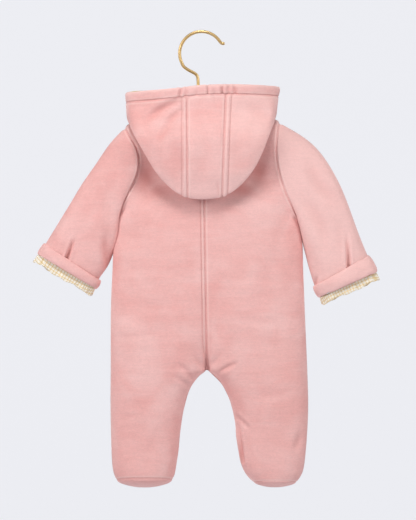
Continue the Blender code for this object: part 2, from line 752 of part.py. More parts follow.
def cuff(side, place, turn):
    """Turned-back cuff: a padded ring round the end of the sleeve."""
    outer, inner = [], []
    for row in CUFF[side][1:]:
        swell, along = row[4:]
        outer.append(cuff_ring(row, place, turn, CUFF_DEPTH + swell))
        inner.append(sleeve_section(SLEEVE[side], along, place, turn, 0.0))
    inner = np.stack(inner)
    inner += grid_normals(inner, -SIGN[side]) * CUFF_CLEARANCE
    wall(f"cuff_{side}", np.stack(outer), inner, "velour", ring=True)


def cuff_lining(side):
    """Check lining that shows past the cuff, with a wavy gathered edge."""
    place, turn, angle = ring_places(FRILL_COLUMNS)
    end = CUFF[side][-1]
    top_x, top_z, under_x, under_z = end[:4]
    across = unit(np.array((top_x - under_x, 0.0, top_z - under_z)))
    out = np.cross(np.array((0.0, SIGN[side], 0.0)), across)
    base = cuff_ring(end, place, turn, CUFF_DEPTH - FRILL_INSET)
    centre = base.mean(axis=0)
    spread = unit(base - centre)
    wave = np.sin(FRILL_WAVES * angle) + 0.5 * np.sin(2.3 * FRILL_WAVES * angle + 1.0)
    scallop = EDGE_WAVE * np.sin(EDGE_WAVES * angle + 0.6)
    outer, inner = [], []
    for share, ripple in FRILL_RINGS[1:]:
        reach = SEAM + share * (FRILL[side] + scallop * ripple)
        ring = base + out * reach[:, None]
        ring = ring + spread * (FRILL_WAVE * ripple * wave - FRILL_SUNK)[:, None]
        outer.append(ring)
        inner.append(ring - spread * FRILL_WALL)
    wall(f"cuff_lining_{side}", np.stack(outer), np.stack(inner), "check", ring=True)


def neck_point(side, share):
    """Neck edge of the body: 0 back centre, 1 side, 2 front centre."""
    face = "back" if share <= 1 else "front"
    turn = 1.0 if face == "back" else -1.0
    around = min(share, 2 - share) * math.pi / 2
    breadth = neck_half(side) * math.sin(around)
    if face == "front":
        breadth = max(breadth, ZIP_HALF)
    z = float(neckline_z(side, face, breadth))
    depth = body_depth(side, face, breadth, z)
    return np.array((float(centre_x(z)) + SIGN[side] * breadth, turn * depth, z))


def body_depth(side, face, breadth, z):
    """Depth of the body's outer skin at a distance from the centre and a height."""
    level = min(z, TIP_Z[side])
    lift = lift_at(side, breadth, level)
    below = ridge_z(side, breadth) - z
    return float(depth_at(face, level) * lift * quarter(below / SHOULDER_ROUNDING))


def hood_controls(side, row):
    """Control points of one line of hood cloth, from the neck seam to the hem."""
    neck_at, fold_x, fold_z, pocket, hem_x, hem_y, hem_z = row
    face = "back" if neck_at <= 1 else "front"
    turn = 1.0 if face == "back" else -1.0
    neck = neck_point(side, neck_at)
    outward = np.array((SIGN[side] * math.sin(min(neck_at, 2 - neck_at) * math.pi / 2), turn, 0.0))
    outward[1] *= math.cos(min(neck_at, 2 - neck_at) * math.pi / 2)
    start = neck + np.array((0.0, 0.0, NECK_SEAM))
    roll = neck + outward * ROLL_OUT + np.array((0.0, 0.0, ROLL_RISE))

    def over_body(share):
        x = roll[0] + (fold_x - roll[0]) * share
        z = roll[2] + (fold_z - roll[2]) * share
        breadth = abs(x - float(centre_x(z)))
        z = min(z, float(ridge_z(side, breadth)) + HOOD_CLEARANCE)
        y = turn * (body_depth(side, face, breadth, z - HOOD_CLEARANCE) + HOOD_CLEARANCE)
        return np.array((x, y, z))

    first = over_body(OVER_SHOULDER)
    second = over_body(OVER_BACK)
    base = over_body(1.0)
    fold = np.array((fold_x, base[1] + pocket * POCKET_SHARE, fold_z))
    hem = np.array((hem_x, hem_y, hem_z))
    rise = unit(hem - fold)
    casing = hem - rise * (CASING + SEAM)
    bulge = np.array((0.0, turn * BAG_SWELL if abs(pocket) > 1 else SHOULDER_SWELL, 0.0))
    middle = (fold + casing) / 2 + bulge
    return np.stack([start, roll, first, second, fold, middle, casing, hem])


def hood_stations():
    """Control points of all the lines of hood cloth, right front to left front."""
    left = [hood_controls("left", row) for row in HOOD["left"][1:]]
    right = [hood_controls("right", row) for row in HOOD["right"][1:]]
    left[0] = right[0] = (left[0] + right[0]) / 2
    return np.stack(right[:0:-1] + left)


def between_stations(stations, at):
    """Controls at a place along the hood, by a smooth curve through the stations."""
    place = np.clip(at + HOOD_STATIONS - 1, 0, len(stations) - 1)
    index = int(min(place, len(stations) - 2))
    t = place - index
    before = stations[max(index - 1, 0)]
    start, end = stations[index], stations[index + 1]
    after = stations[min(index + 2, len(stations) - 1)]
    pull_start, pull_end = (end - before) / 2, (after - start) / 2
    return (
        start * (1 + 2 * t) * (1 - t) ** 2
        + pull_start * t * (1 - t) ** 2
        + end * t * t * (3 - 2 * t)
        + pull_end * t * t * (t - 1)
    )


def hood_line(stations, at, steps):
    """Points along one line of hood cloth; whole steps fall on its controls."""
    controls = between_stations(stations, at)
    span = np.linalg.norm(np.diff(controls, axis=0), axis=1)
    knots = np.concatenate([[0.0], np.cumsum(span)])
    where = np.interp(steps, np.arange(len(controls)), knots)
    return np.stack([eased(where, knots, controls[:, axis]) for axis in range(3)], -1)


def hood_grid(stations, places, steps):
    """Skin points and outward normals of a stretch of the hood."""
    eps = NORMAL_STEP
    steps = np.asarray(steps, float)
    grid = np.stack([hood_line(stations, at, steps) for at in places])
    beside = np.stack([hood_line(stations, at + eps, steps) for at in places])
    before = np.stack([hood_line(stations, at - eps, steps) for at in places])
    ahead = np.stack([hood_line(stations, at, np.clip(steps + eps, 0, 7)) for at in places])
    behind = np.stack([hood_line(stations, at, np.clip(steps - eps, 0, 7)) for at in places])
    normals = unit(np.cross(ahead - behind, beside - before))
    return grid, normals


def hood_panel(name, stations, places):
    """One hood panel from the neck seam to the casing."""
    grid, normals = hood_grid(stations, places, HOOD_ROWS)
    grid = crease_shift(name, grid, normals)
    thick = np.outer(
        pinched(len(places), HOOD_WALL),
        pinched(len(HOOD_ROWS), 1.0),
    )
    wall(name, grid, grid - normals * thick[..., None], "velour")


def hood_casing(stations):
    """Elastic casing along the hood's face edge, swelling between its stitches."""
    end = HOOD_STATIONS - 1
    places = np.linspace(-end, end, CASING_COLUMNS + 1)
    grid, normals = hood_grid(stations, places, column(CASING_RINGS, "step"))
    swell = CASING_SWELL * np.sin(math.pi * column(CASING_RINGS, "swell"))
    grid = grid + normals * swell[None, :, None]
    grid = crease_shift("hood_casing", grid, normals)
    thick = HOOD_WALL * column(CASING_RINGS, "wall")
    wall("hood_casing", grid, grid - normals * thick[None, :, None], "velour")


def sole(side, skins):
    """Oval sole under the foot, sewn to the lower edge of both panels."""
    back, front = skins["back"][0][-1], skins["front"][0][-1]
    ring = np.concatenate([back, front[::-1]])
    ring = ring[np.linalg.norm(ring - np.roll(ring, 1, axis=0), axis=1) > SHORTEST_EDGE]
    ring = ring - np.array((0.0, 0.0, SEAM))
    centre = ring.mean(axis=0)
    shares = SOLE_RINGS
    top, under = [], []
    for share in shares:
        sag = SOLE_SAG * (1 - share**2)
        level = centre + (ring - centre) * share
        top.append(level - np.array((0.0, 0.0, sag * SOLE_SAG_INSIDE)))
        thick = SOLE_RIM if share == 1.0 else WALL
        under.append(level - np.array((0.0, 0.0, sag + thick)))
    count = len(ring)
    middles = [[centre - (0, 0, SOLE_SAG * SOLE_SAG_INSIDE)], [centre - (0, 0, SOLE_SAG + WALL)]]
    vertices = np.concatenate(top + under + middles)
    faces = []
    for skin in (0, len(shares)):
        for level in range(len(shares) - 1):
            for i in range(count):
                a, b = (skin + level) * count, (skin + level + 1) * count
                faces.append((a + i, a + (i + 1) % count, b + (i + 1) % count, b + i))
        last = (skin + len(shares) - 1) * count
        tip = 2 * len(shares) * count + (1 if skin else 0)
        faces += [(last + i, last + (i + 1) % count, tip) for i in range(count)]
    low = len(shares) * count
    faces += [(i, (i + 1) % count, low + (i + 1) % count, low + i) for i in range(count)]
    return mesh_object(f"sole_{side}", vertices, faces, "velour")


def zip_tape(side, skins):
    """One zip tape beside the front edge, from the neck to the foot of the zip."""
    edge = skins["front"][0][:, 0]
    closed = int(np.argmax(edge[:, 2] < ZIP_Z))
    foot = edge[closed - 1] + (edge[closed] - edge[closed - 1]) * TAPE_FOOT
    edge = np.concatenate([edge[:closed], [foot]])
    near = edge.copy()
    near[:, 0] = centre_x(edge[:, 2]) + SIGN[side] * SEAM / 2
    far = edge - np.array((SIGN[side] * SEAM, 0.0, 0.0))
    outer = np.stack([near, far], 1) + np.array((0.0, TAPE_SINK, 0.0))
    inner = outer + np.array((0.0, TAPE_THICK, 0.0))
    return wall(f"zip_tape_{side}", outer, inner, "tape")


def slider_place():
    """Centre of the zip slider, just proud of the tapes."""
    depth = body_depth("left", "front", 0.0, SLIDER_Z)
    return np.array((float(centre_x(SLIDER_Z)), -(depth + SLIDER_PROUD), SLIDER_Z))


def plate(name, loops, thick):
    """A flat plate across X and Z from closed outlines, the first one outermost."""
    data = bpy.data.curves.new(name, "CURVE")
    data.dimensions = "2D"
    data.fill_mode = "BOTH"
    data.extrude = thick / 2 * MM
    for loop in loops:
        spline = data.splines.new("POLY")
        spline.use_cyclic_u = True
        spline.points.add(len(loop) - 1)
        for point, (across, up) in zip(spline.points, loop):
            point.co = (across * MM, up * MM, 0.0, 1.0)
    return bpy.data.objects.new(name, data)


def as_mesh(obj, finish):
    """The object's evaluated shape as a welded mesh object of the same name."""
    bpy.context.scene.collection.objects.link(obj)
    bpy.context.view_layer.update()
    graph = bpy.context.evaluated_depsgraph_get()
    mesh = bpy.data.meshes.new_from_object(obj.evaluated_get(graph))
    bm = bmesh.new()
    bm.from_mesh(mesh)
    bmesh.ops.remove_doubles(bm, verts=bm.verts, dist=1e-6)
    bmesh.ops.recalc_face_normals(bm, faces=bm.faces)
    bm.to_mesh(mesh)
    bm.free()
    name, place = obj.name, obj.matrix_world.copy()
    bpy.data.objects.remove(obj)
    solid = bpy.data.objects.new(name, mesh)
    solid.matrix_world = place
    return finished(solid, finish)


def zip_slider():
    """Slider body, with the arched bridge that holds the pull."""
    width, thick, height = SLIDER_SIZE
    place = slider_place()
    bpy.ops.mesh.primitive_cube_add(size=1.0, location=[c * MM for c in place])
    body = bpy.context.active_object
    body.name = body.data.name = "zip_slider"
    body.scale = [s * MM for s in (width, thick, height)]
    bpy.ops.object.transform_apply(location=False, rotation=False, scale=True)
    edge = body.modifiers.new("rounded", "BEVEL")
    edge.width = SLIDER_EDGE * MM
    edge.segments = 2
    finished(body, "brass")
    # The arch stands in the plane of the zip and the depth, its feet in the body.
    high, half, foot = BRIDGE_RISE, BRIDGE_HALF, BRIDGE_ROOT
    low, short = high - BRIDGE_CORNER, half - BRIDGE_CORNER
    arch = (
        (foot, -half), (low, -half), (high, -short), (high, short), (low, half), (foot, half),
        (foot, half - BRIDGE_WIRE), (high - BRIDGE_WIRE, half - BRIDGE_WIRE),
        (high - BRIDGE_WIRE, BRIDGE_WIRE - half), (foot, BRIDGE_WIRE - half),
    )
    bridge = plate("slider_bridge", [arch], BRIDGE_WIDE)
    face = (place - np.array((0.0, thick / 2, 0.0))) * MM
    bridge.matrix_world = Matrix.Translation(face) @ Matrix(
        ((0, 0, 1, 0), (-1, 0, 0, 0), (0, 1, 0, 0), (0, 0, 0, 1))
    )
    bridge = as_mesh(bridge, "brass")
    bridge.hide_render = True
    bridge.display_type = "WIRE"
    joined = body.modifiers.new("bridge", "BOOLEAN")
    joined.operation = "UNION"
    joined.object = bridge
    for old in list(bridge.users_collection):
        old.objects.unlink(bridge)
    bpy.data.collections["cutters"].objects.link(bridge)


def zip_pull():
    """Pull tab: a slotted plate whose top bar turns under the bridge."""
    slot_wide, slot_long = PULL_SLOT
    top, half = PULL_BAR / 2, PULL_WIDE / 2
    low = top - PULL_LONG
    angles = np.linspace(0, -math.pi, 9)
    round_half = half * PULL_TIP
    tip = [(round_half * math.cos(a), low + round_half * (1 + math.sin(a))) for a in angles]
    cut = PULL_CORNER
    outline = [(-half, top - cut), (-half + cut, top), (half - cut, top), (half, top - cut)]
    outline += [(half, -slot_long)] + tip + [(-half, -slot_long)]
    slot_top, slot_low = -PULL_BAR / 2, -PULL_BAR / 2 - slot_long
    reach = slot_wide / 2
    slot = [(-reach, slot_top), (-reach, slot_low), (reach, slot_low), (reach, slot_top)]
    pull = plate("zip_pull", [outline, slot], PULL_THICK)
    pin = slider_place() - np.array((0.0, SLIDER_SIZE[1] / 2 + PULL_PIVOT, 0.0))
    pull.matrix_world = Matrix.Translation(pin * MM) @ Matrix.Rotation(math.pi / 2, 4, "X")
    return as_mesh(pull, "brass")


def wire(name, points, radius, finish):
    """A round wire along a run of points, its ends capped."""
    data = bpy.data.curves.new(name, "CURVE")
    data.dimensions = "3D"
    data.bevel_depth = radius * MM
    data.bevel_resolution = 2
    data.use_fill_caps = True
    spline = data.splines.new("POLY")
    spline.points.add(len(points) - 1)
    for point, place in zip(spline.points, points):
        point.co = (place[0] * MM, place[1] * MM, place[2] * MM, 1.0)
    obj = bpy.data.objects.new(name, data)
    return finished(obj, finish)


def run_of(table):
    """Points of a table of x and z, in the plane of the hanger."""
    return np.stack([column(table, "x"), 0 * column(table, "x"), column(table, "z")], -1)


def hook():
    """Hanger hook: an open ring of wire that runs down into a straight stem."""
    centre = np.array((0.0, 0.0, WIRE - HOOK_RADIUS))
    angles = np.radians(np.linspace(*HOOK_TURN, 19))
    round_part = centre + HOOK_RADIUS * np.stack(
        [-np.cos(angles), 0 * angles, np.sin(angles)], -1
    )
    points = np.concatenate([run_of(HOOK_TIP), round_part, run_of(HOOK_NECK)])
    return wire("hanger_hook", points, WIRE, "brass")


def hanger_arms():
    """Bent wire arms that lie inside the shoulders."""
    top = STEM_Z - WIRE * 2 - SEAM
    points = []
    for share in np.linspace(-1, 1, 17):
        reach = abs(share) * ARM_REACH
        middle = STEM_X + ARM_SHIFT
        points.append((middle + share * ARM_REACH, 0.0, top - ARM_DROOP * reach**2))
    return wire("hanger_arms", points, WIRE, "brass")


def build():
    """Clears the scene and builds every piece."""
    for obj in list(bpy.data.objects):
        bpy.data.objects.remove(obj)
    collection = bpy.data.collections.new("baby_snowsuit")
    bpy.context.scene.collection.children.link(collection)
    bpy.context.scene.collection.children.link(bpy.data.collections.new("cutters"))
    for side in ("left", "right"):
        skins = {}
        for face in ("back", "front"):
            skins[face] = body_panel(side, face)
        place, turn = sleeve(side, skins)
        cuff(side, place, turn)
        cuff_lining(side)
        sole(side, skins)
        zip_tape(side, skins)
    stations = hood_stations()
    last = HOOD_STATIONS - 1
    near, far = HOOD_SEAM - SEAM_STEP, HOOD_SEAM + SEAM_STEP
    hood_panel("hood_centre", stations, np.linspace(-near, near, CENTRE_COLUMNS + 1))
    hood_panel("hood_side_left", stations, np.linspace(far, last, SIDE_COLUMNS + 1))
    hood_panel("hood_side_right", stations, np.linspace(-last, -far, SIDE_COLUMNS + 1))
    hood_casing(stations)
    zip_slider()
    zip_pull()
    hook()
    hanger_arms()


build()
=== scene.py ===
"""Looks of a padded velour baby snowsuit that hangs from a wire hanger.

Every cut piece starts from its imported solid. The solid's skin is welded and made finer,
then its seams, soft folds and gathers are pressed into it. Stitches and zip teeth are
laid along the seams by Geometry Nodes. Sizes in tables are millimetres and meshes are
metres. The wearer faces -Y, their left is +X, and the origin is the hook's inner top.
"""

import heapq
import logging
import math
from dataclasses import dataclass, field
from enum import Enum, IntEnum

import bmesh
import bpy
import numpy as np
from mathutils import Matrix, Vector
from mathutils.bvhtree import BVHTree
from mathutils.kdtree import KDTree


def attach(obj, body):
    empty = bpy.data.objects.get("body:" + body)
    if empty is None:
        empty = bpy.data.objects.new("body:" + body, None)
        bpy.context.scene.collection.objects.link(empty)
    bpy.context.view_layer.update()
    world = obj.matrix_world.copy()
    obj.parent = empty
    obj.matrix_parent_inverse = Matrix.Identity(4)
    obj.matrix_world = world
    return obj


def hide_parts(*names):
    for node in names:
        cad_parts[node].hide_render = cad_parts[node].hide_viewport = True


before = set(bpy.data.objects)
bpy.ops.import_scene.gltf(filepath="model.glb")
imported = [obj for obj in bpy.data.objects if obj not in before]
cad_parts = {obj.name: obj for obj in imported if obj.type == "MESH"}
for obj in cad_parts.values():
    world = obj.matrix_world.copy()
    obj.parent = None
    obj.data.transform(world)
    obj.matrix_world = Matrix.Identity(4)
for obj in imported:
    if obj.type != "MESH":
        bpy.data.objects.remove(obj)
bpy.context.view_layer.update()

LOG = logging.getLogger("snowsuit")
MM = 0.001
WELD = 2e-6  # metres, closer corners are one corner
WALL_LIMIT = 0.006  # metres, thicker than any padded wall
CORNER = math.radians(50)  # a cut edge turns a corner past this angle
SIDES = ("left", "right")
SIGN = {"left": 1.0, "right": -1.0}
FAR = 99.0  # millimetres, stands for nowhere near
SEAM_ZONE = 24.0  # millimetres round a seam in which distances from it are measured
CALM_ZONE = 12.0  # millimetres beside a seam in which the padding lies even
OPEN_SEAM = 7.0  # millimetres, the widest open seam that is drawn together
APART = 5.0  # millimetres, skins farther apart than this can't cross
RUN_STEP = 0.25  # border points between the places that distances are taken from
SHORT_BREAK = 8  # points, half the longest break in a seam that is passed over
GRAZING = 0.1  # cosine below which a ray only grazes a skin
ONE_SKIN = 0.25  # cosine of the sharpest bend within one skin
SQUARE = 0.8  # as squarely backed as a polygon must be to start a skin
SLANTED = 0.45  # a polygon backed less than this is likely to be a cut edge
SLANT_COST = 1.2  # radians, the bend that such a polygon counts for
FOLD_TURN = 2.5  # how quickly a fold comes in where the skin turns to its face
SWELL_TURN = 1.5  # and how quickly a swell does
ROW_SLACK = 0.2  # share of a row's distance from its seam that it may be off
PAINTED_SHADE_PER_MM = 0.055  # painted shade in folds: share of the seam-and-shade colour for each millimetre of a fold's depth
PAINTED_SHADE_DEPTH_LIMIT = 5.0  # millimetres of fold depth past which the painted shade grows no darker
CENTRE_TOP = -1.8  # where the centre seams start along X, millimetres
CENTRE_HEIGHT = -105.0  # and along Z
CENTRE_LEAN = 0.0158  # their sideways drift for each millimetre of fall


class Face(Enum):
    """Which side of the garment a fold lies on."""

    BACK = 1.0
    FRONT = -1.0


class Layer(IntEnum):
    """Part of a padded wall that a polygon belongs to, also its material slot."""

    OUTER = 0
    INNER = 1
    EDGE = 2


# ---- finishes ------------------------------------------------------------------


class NodeBench:
    """Short calls for laying out one material's nodes."""

    def __init__(self, name: str) -> None:
        """Starts an empty material.

        Args:
            name: The material's name.
        """
        self.material = bpy.data.materials.new(name)
        self.material.use_nodes = True
        self.nodes = self.material.node_tree.nodes
        self.links = self.material.node_tree.links
        self.shader = self.nodes["Principled BSDF"]

    def add(self, kind: str, **settings: object) -> bpy.types.Node:
        """Adds a node and sets its properties.

        Args:
            kind: The node's type name.
            **settings: Properties by name.

        Returns:
            The new node.
        """
        node = self.nodes.new(kind)
        for name, value in settings.items():
            setattr(node, name, value)
        return node

    def feed(self, socket: bpy.types.NodeSocket, value: object) -> None:
        """Links an output to a socket, or sets a constant on it.

        Args:
            socket: The input to fill.
            value: A socket, or a number, colour or vector.
        """
        if isinstance(value, bpy.types.NodeSocket):
            self.links.new(value, socket)
        else:
            socket.default_value = value

    def maths(self, operation: str, *values: object) -> bpy.types.NodeSocket:
        """A Math node.

        Args:
            operation: Such as MULTIPLY.
            *values: Sockets or numbers, in order.

        Returns:
            The result's socket.
        """
        node = self.add("ShaderNodeMath", operation=operation)
        for socket, value in zip(node.inputs, values):
            self.feed(socket, value)
        return node.outputs[0]

    def ramped(self, value: object, low: float, high: float, start: float = 0.0,
               end: float = 1.0) -> bpy.types.NodeSocket:
        """Smooth step of a value from one range to another.

        Args:
            value: The socket to read.
            low: Where the step begins.
            high: Where the step ends.
            start: Result at and below low.
            end: Result at and above high.

        Returns:
            The result's socket.
        """
        node = self.add("ShaderNodeMapRange", interpolation_type="SMOOTHSTEP")
        for name, number in (("From Min", low), ("From Max", high), ("To Min", start), ("To Max", end)):
            node.inputs[name].default_value = number
        self.feed(node.inputs["Value"], value)
        return node.outputs["Result"]

    def noise(self, scale: float, stretch: tuple[float, float, float] = (1.0, 1.0, 1.0),
              detail: float = 3.0, distort: float = 0.0) -> bpy.types.NodeSocket:
        """Noise on Object coordinates.

        Args:
            scale: Features in each metre.
            stretch: Share of the scale along X, Y and Z.
            detail: Octaves.
            distort: Distortion.

        Returns:
            The noise value's socket.
        """
        place = self.add("ShaderNodeTexCoord")
        mapping = self.add("ShaderNodeMapping")
        mapping.inputs["Scale"].default_value = stretch
        self.feed(mapping.inputs["Vector"], place.outputs["Object"])
        node = self.add("ShaderNodeTexNoise")
        node.inputs["Scale"].default_value = scale
        node.inputs["Detail"].default_value = detail
        node.inputs["Distortion"].default_value = distort
        self.feed(node.inputs["Vector"], mapping.outputs["Vector"])
        return node.outputs["Fac"]

    def attribute(self, name: str) -> bpy.types.NodeSocket:
        """Value of a mesh attribute.

        Args:
            name: The attribute's name.

        Returns:
            Its value's socket.
        """
        return self.add("ShaderNodeAttribute", attribute_name=name).outputs["Fac"]

    def blend(self, share: object, first: object, second: object,
              mode: str = "MIX") -> bpy.types.NodeSocket:
        """Mixes two colours.

        Args:
            share: Share of the second colour.
            first: A colour or socket.
            second: A colour or socket.
            mode: The way they mix.

        Returns:
            The mixed colour's socket.
        """
        node = self.add("ShaderNodeMix", data_type="RGBA", blend_type=mode)
        self.feed(node.inputs[0], share)
        self.feed(node.inputs[6], first)
        self.feed(node.inputs[7], second)
        return node.outputs[2]

    def bump(self, height: object, strength: float, distance: float,
             under: bpy.types.NodeSocket | None = None) -> bpy.types.NodeSocket:
        """A Bump node.

        Args:
            height: Height as a share of the distance.
            strength: How much of it shows.
            distance: Metres for a height of one.
            under: Normal of a bump below this one.

        Returns:
            The normal's socket.
        """
        node = self.add("ShaderNodeBump")
        node.inputs["Strength"].default_value = strength
        node.inputs["Distance"].default_value = distance
        self.feed(node.inputs["Height"], height)
        if under is not None:
            self.links.new(under, node.inputs["Normal"])
        return node.outputs["Normal"]


@dataclass(frozen=True)
class Velour:
    """Short cotton pile, with a nap that is pressed here and lifted there, and with painted shade and
    painted highlights read from the mesh.
    """

    pressed: tuple[float, float, float, float] = (0.755, 0.385, 0.362, 1.0)
    lifted: tuple[float, float, float, float] = (0.805, 0.497, 0.474, 1.0)
    # colour of dark seam lines and stitch rows, and of painted shade in creases and under the hood
    seam_and_painted_shade: tuple[float, float, float, float] = (0.56, 0.17, 0.15, 1.0)
    # colour of painted highlights beside seams, along hems and over the right sleeve, cuff and hood
    # side
    ridge: tuple[float, float, float, float] = (0.86, 0.61, 0.57, 1.0)
    sheen_tint: tuple[float, float, float, float] = (1.0, 0.80, 0.77, 1.0)
    sheen: float = 0.6
    rumple_scale: float = 26.0  # features in each metre, here and below
    patch_scale: float = 17.0
    stroke_scale: float = 62.0
    thread_scale: float = 260.0
    clump_scale: float = 360.0
    pile_scale: float = 1500.0
    patch_share: float = 0.7  # of the nap that the patches make, the strokes the rest
    highlight_share: float = 0.45  # most of the painted highlight colour beside a seam
    seam_share: float = 0.2  # most of the seam-and-shade colour in a seam
    stitch_share: float = 0.26  # and in a row of stitches

    def material(self) -> bpy.types.Material:
        """Builds the pink velour.

        Returns:
            The material.
        """
        bench = NodeBench("velour")
        clumps = bench.noise(self.clump_scale, (0.7, 1.0, 1.3), 3.0, 0.7)
        pile = bench.noise(self.pile_scale, detail=2.0)
        near = bench.attribute("seam_near")
        seam = bench.ramped(near, 0.2, 1.7, 1.0, 0.0)
        off = bench.maths("ABSOLUTE", bench.attribute("stitch_off"))
        stitch = bench.ramped(off, 0.1, 1.2, 1.0, 0.0)
        colour = self.paint_seam_highlights(bench, self.nap_colour(bench, pile, clumps), near)
        shade = bench.maths("MULTIPLY", seam, self.seam_share)
        shade = bench.maths("MAXIMUM", shade, bench.maths("MULTIPLY", stitch, self.stitch_share))
        # painted shade, read for each point, darkens the creases and the back under the hood's flanks
        shade = bench.maths("MAXIMUM", shade, bench.attribute("seam_and_painted_shade"))
        bench.feed(bench.shader.inputs["Base Color"], bench.blend(shade, colour, self.seam_and_painted_shade))
        bench.shader.inputs["Roughness"].default_value = 0.92
        bench.shader.inputs["Specular IOR Level"].default_value = 0.12
        bench.shader.inputs["Sheen Weight"].default_value = self.sheen
        bench.shader.inputs["Sheen Roughness"].default_value = 0.3
        bench.shader.inputs["Sheen Tint"].default_value = self.sheen_tint
        normal = bench.bump(bench.noise(self.rumple_scale, (0.7, 1.0, 1.3), 3.0, 0.5), 0.3, 0.0035)
        grooves = bench.maths("SUBTRACT", bench.maths("MULTIPLY", stitch, -0.8), seam)
        bumps = ((grooves, 0.75, 0.0008), (clumps, 0.2, 0.0006), (pile, 0.42, 0.0006))
        for height, strength, distance in bumps:
            normal = bench.bump(height, strength, distance, normal)
        bench.feed(bench.shader.inputs["Normal"], normal)
        return bench.material

    def nap_colour(self, bench: NodeBench, pile: bpy.types.NodeSocket,
                   clumps: bpy.types.NodeSocket) -> bpy.types.NodeSocket:
        """Colour of the pile, pressed or lifted in patches and strokes.

        Args:
            bench: The material's nodes.
            pile: Noise of single tufts.
            clumps: Noise of tufts that lean together.

        Returns:
            The colour's socket.
        """
        patches = bench.noise(self.patch_scale, (1.0, 1.0, 0.8), 3.0, 0.8)
        strokes = bench.noise(self.stroke_scale, (0.3, 1.0, 1.7), 3.0, 0.5)
        threads = bench.noise(self.thread_scale, (0.12, 0.6, 1.8), 2.0, 0.6)
        nap = bench.maths("MULTIPLY", patches, self.patch_share)
        nap = bench.maths("ADD", nap, bench.maths("MULTIPLY", strokes, 1 - self.patch_share))
        nap = bench.maths("ADD", nap, bench.attribute("nap"))
        colour = bench.blend(bench.ramped(nap, 0.28, 0.76), self.pressed, self.lifted)
        for noise, spread in ((pile, 0.045), (clumps, 0.032), (threads, 0.015)):
            grain = bench.ramped(noise, 0.3, 0.7, 1 - spread, 1 + spread)
            colour = bench.blend(1.0, colour, grain, "MULTIPLY")
        return colour

    def paint_seam_highlights(self, bench: NodeBench, colour: bpy.types.NodeSocket,
                   near: bpy.types.NodeSocket) -> bpy.types.NodeSocket:
        """Paints highlights into the pile's colour beside the seams and along hems.

        Args:
            bench: The material's nodes.
            colour: The pile's colour.
            near: Distance from the nearest seam, in millimetres.

        Returns:
            The colour's socket.
        """
        # painted highlight: the ridge colour in a band beside each seam, and wherever the pale
        # attribute asks for it
        rise, fall = bench.ramped(near, 1.2, 2.6), bench.ramped(near, 2.6, 4.8, 1.0, 0.0)
        highlight = bench.maths("MULTIPLY", bench.maths("MULTIPLY", rise, fall), self.highlight_share)
        return bench.blend(bench.maths("MAXIMUM", highlight, bench.attribute("pale")), colour, self.ridge)


@dataclass(frozen=True)
class CheckLining:
    """Fine cotton with thin gold lines both ways on cream, read from the cloth's own map."""

    ground: tuple[float, float, float, float] = (0.90, 0.84, 0.73, 1.0)
    line: tuple[float, float, float, float] = (0.76, 0.55, 0.25, 1.0)
    pitch: float = 0.0044
    half_line: float = 0.16  # share of the pitch
    line_share: float = 0.62  # of the line's colour on a line
    cross_share: float = 0.34  # and what is added where two cross
    yarns: int = 9  # in each check
    fleck_scale: float = 900.0  # features in each metre

    def material(self) -> bpy.types.Material:
        """Builds the cream and gold check.

        Returns:
            The material.
        """
        bench = NodeBench("check_lining")
        apart = bench.add("ShaderNodeSeparateXYZ")
        bench.feed(apart.inputs[0], bench.add("ShaderNodeUVMap", uv_map="cloth").outputs["UV"])
        lines = []
        threads = []
        for axis in (0, 1):
            turns = bench.maths("DIVIDE", apart.outputs[axis], self.pitch)
            away = bench.maths("ABSOLUTE", bench.maths("SUBTRACT", bench.maths("FRACT", turns), 0.5))
            lines.append(bench.ramped(away, self.half_line * 0.6, self.half_line * 1.5, 1.0, 0.0))
            wave = bench.maths("MULTIPLY", turns, 2 * math.pi * self.yarns)
            threads.append(bench.maths("SINE", wave))
        single = bench.maths("MULTIPLY", bench.maths("MAXIMUM", *lines), self.line_share)
        both = bench.maths("MULTIPLY", bench.maths("MULTIPLY", *lines), self.cross_share)
        share = bench.maths("ADD", single, both)
        fleck = bench.ramped(bench.noise(self.fleck_scale), 0.3, 0.7, 0.9, 1.05)
        colour = bench.blend(1.0, bench.blend(share, self.ground, self.line), fleck, "MULTIPLY")
        bench.feed(bench.shader.inputs["Base Color"], colour)
        bench.shader.inputs["Roughness"].default_value = 0.86
        bench.shader.inputs["Specular IOR Level"].default_value = 0.25
        weave = bench.maths("MULTIPLY", *threads)
        bench.feed(bench.shader.inputs["Normal"], bench.bump(weave, 0.35, 0.00025))
        return bench.material


@dataclass(frozen=True)
class WovenTape:
    """Close herringbone polyester tape of the zip."""

    colour: tuple[float, float, float, float] = (0.70, 0.34, 0.32, 1.0)
    rib: float = 1400.0  # ribs in each metre, on the slant

    def material(self) -> bpy.types.Material:
        """Builds the pink tape.

        Returns:
            The material.
        """
        bench = NodeBench("zip_tape")
        place = bench.add("ShaderNodeTexCoord")
        wave = bench.add("ShaderNodeTexWave", bands_direction="DIAGONAL")
        wave.inputs["Scale"].default_value = self.rib
        bench.feed(wave.inputs["Vector"], place.outputs["Object"])
        shade = bench.ramped(wave.outputs["Fac"], 0.0, 1.0, 0.86, 1.06)
        bench.feed(bench.shader.inputs["Base Color"], bench.blend(1.0, self.colour, shade, "MULTIPLY"))
        bench.shader.inputs["Roughness"].default_value = 0.7
        bench.feed(bench.shader.inputs["Normal"], bench.bump(wave.outputs["Fac"], 0.4, 0.0002))
        return bench.material


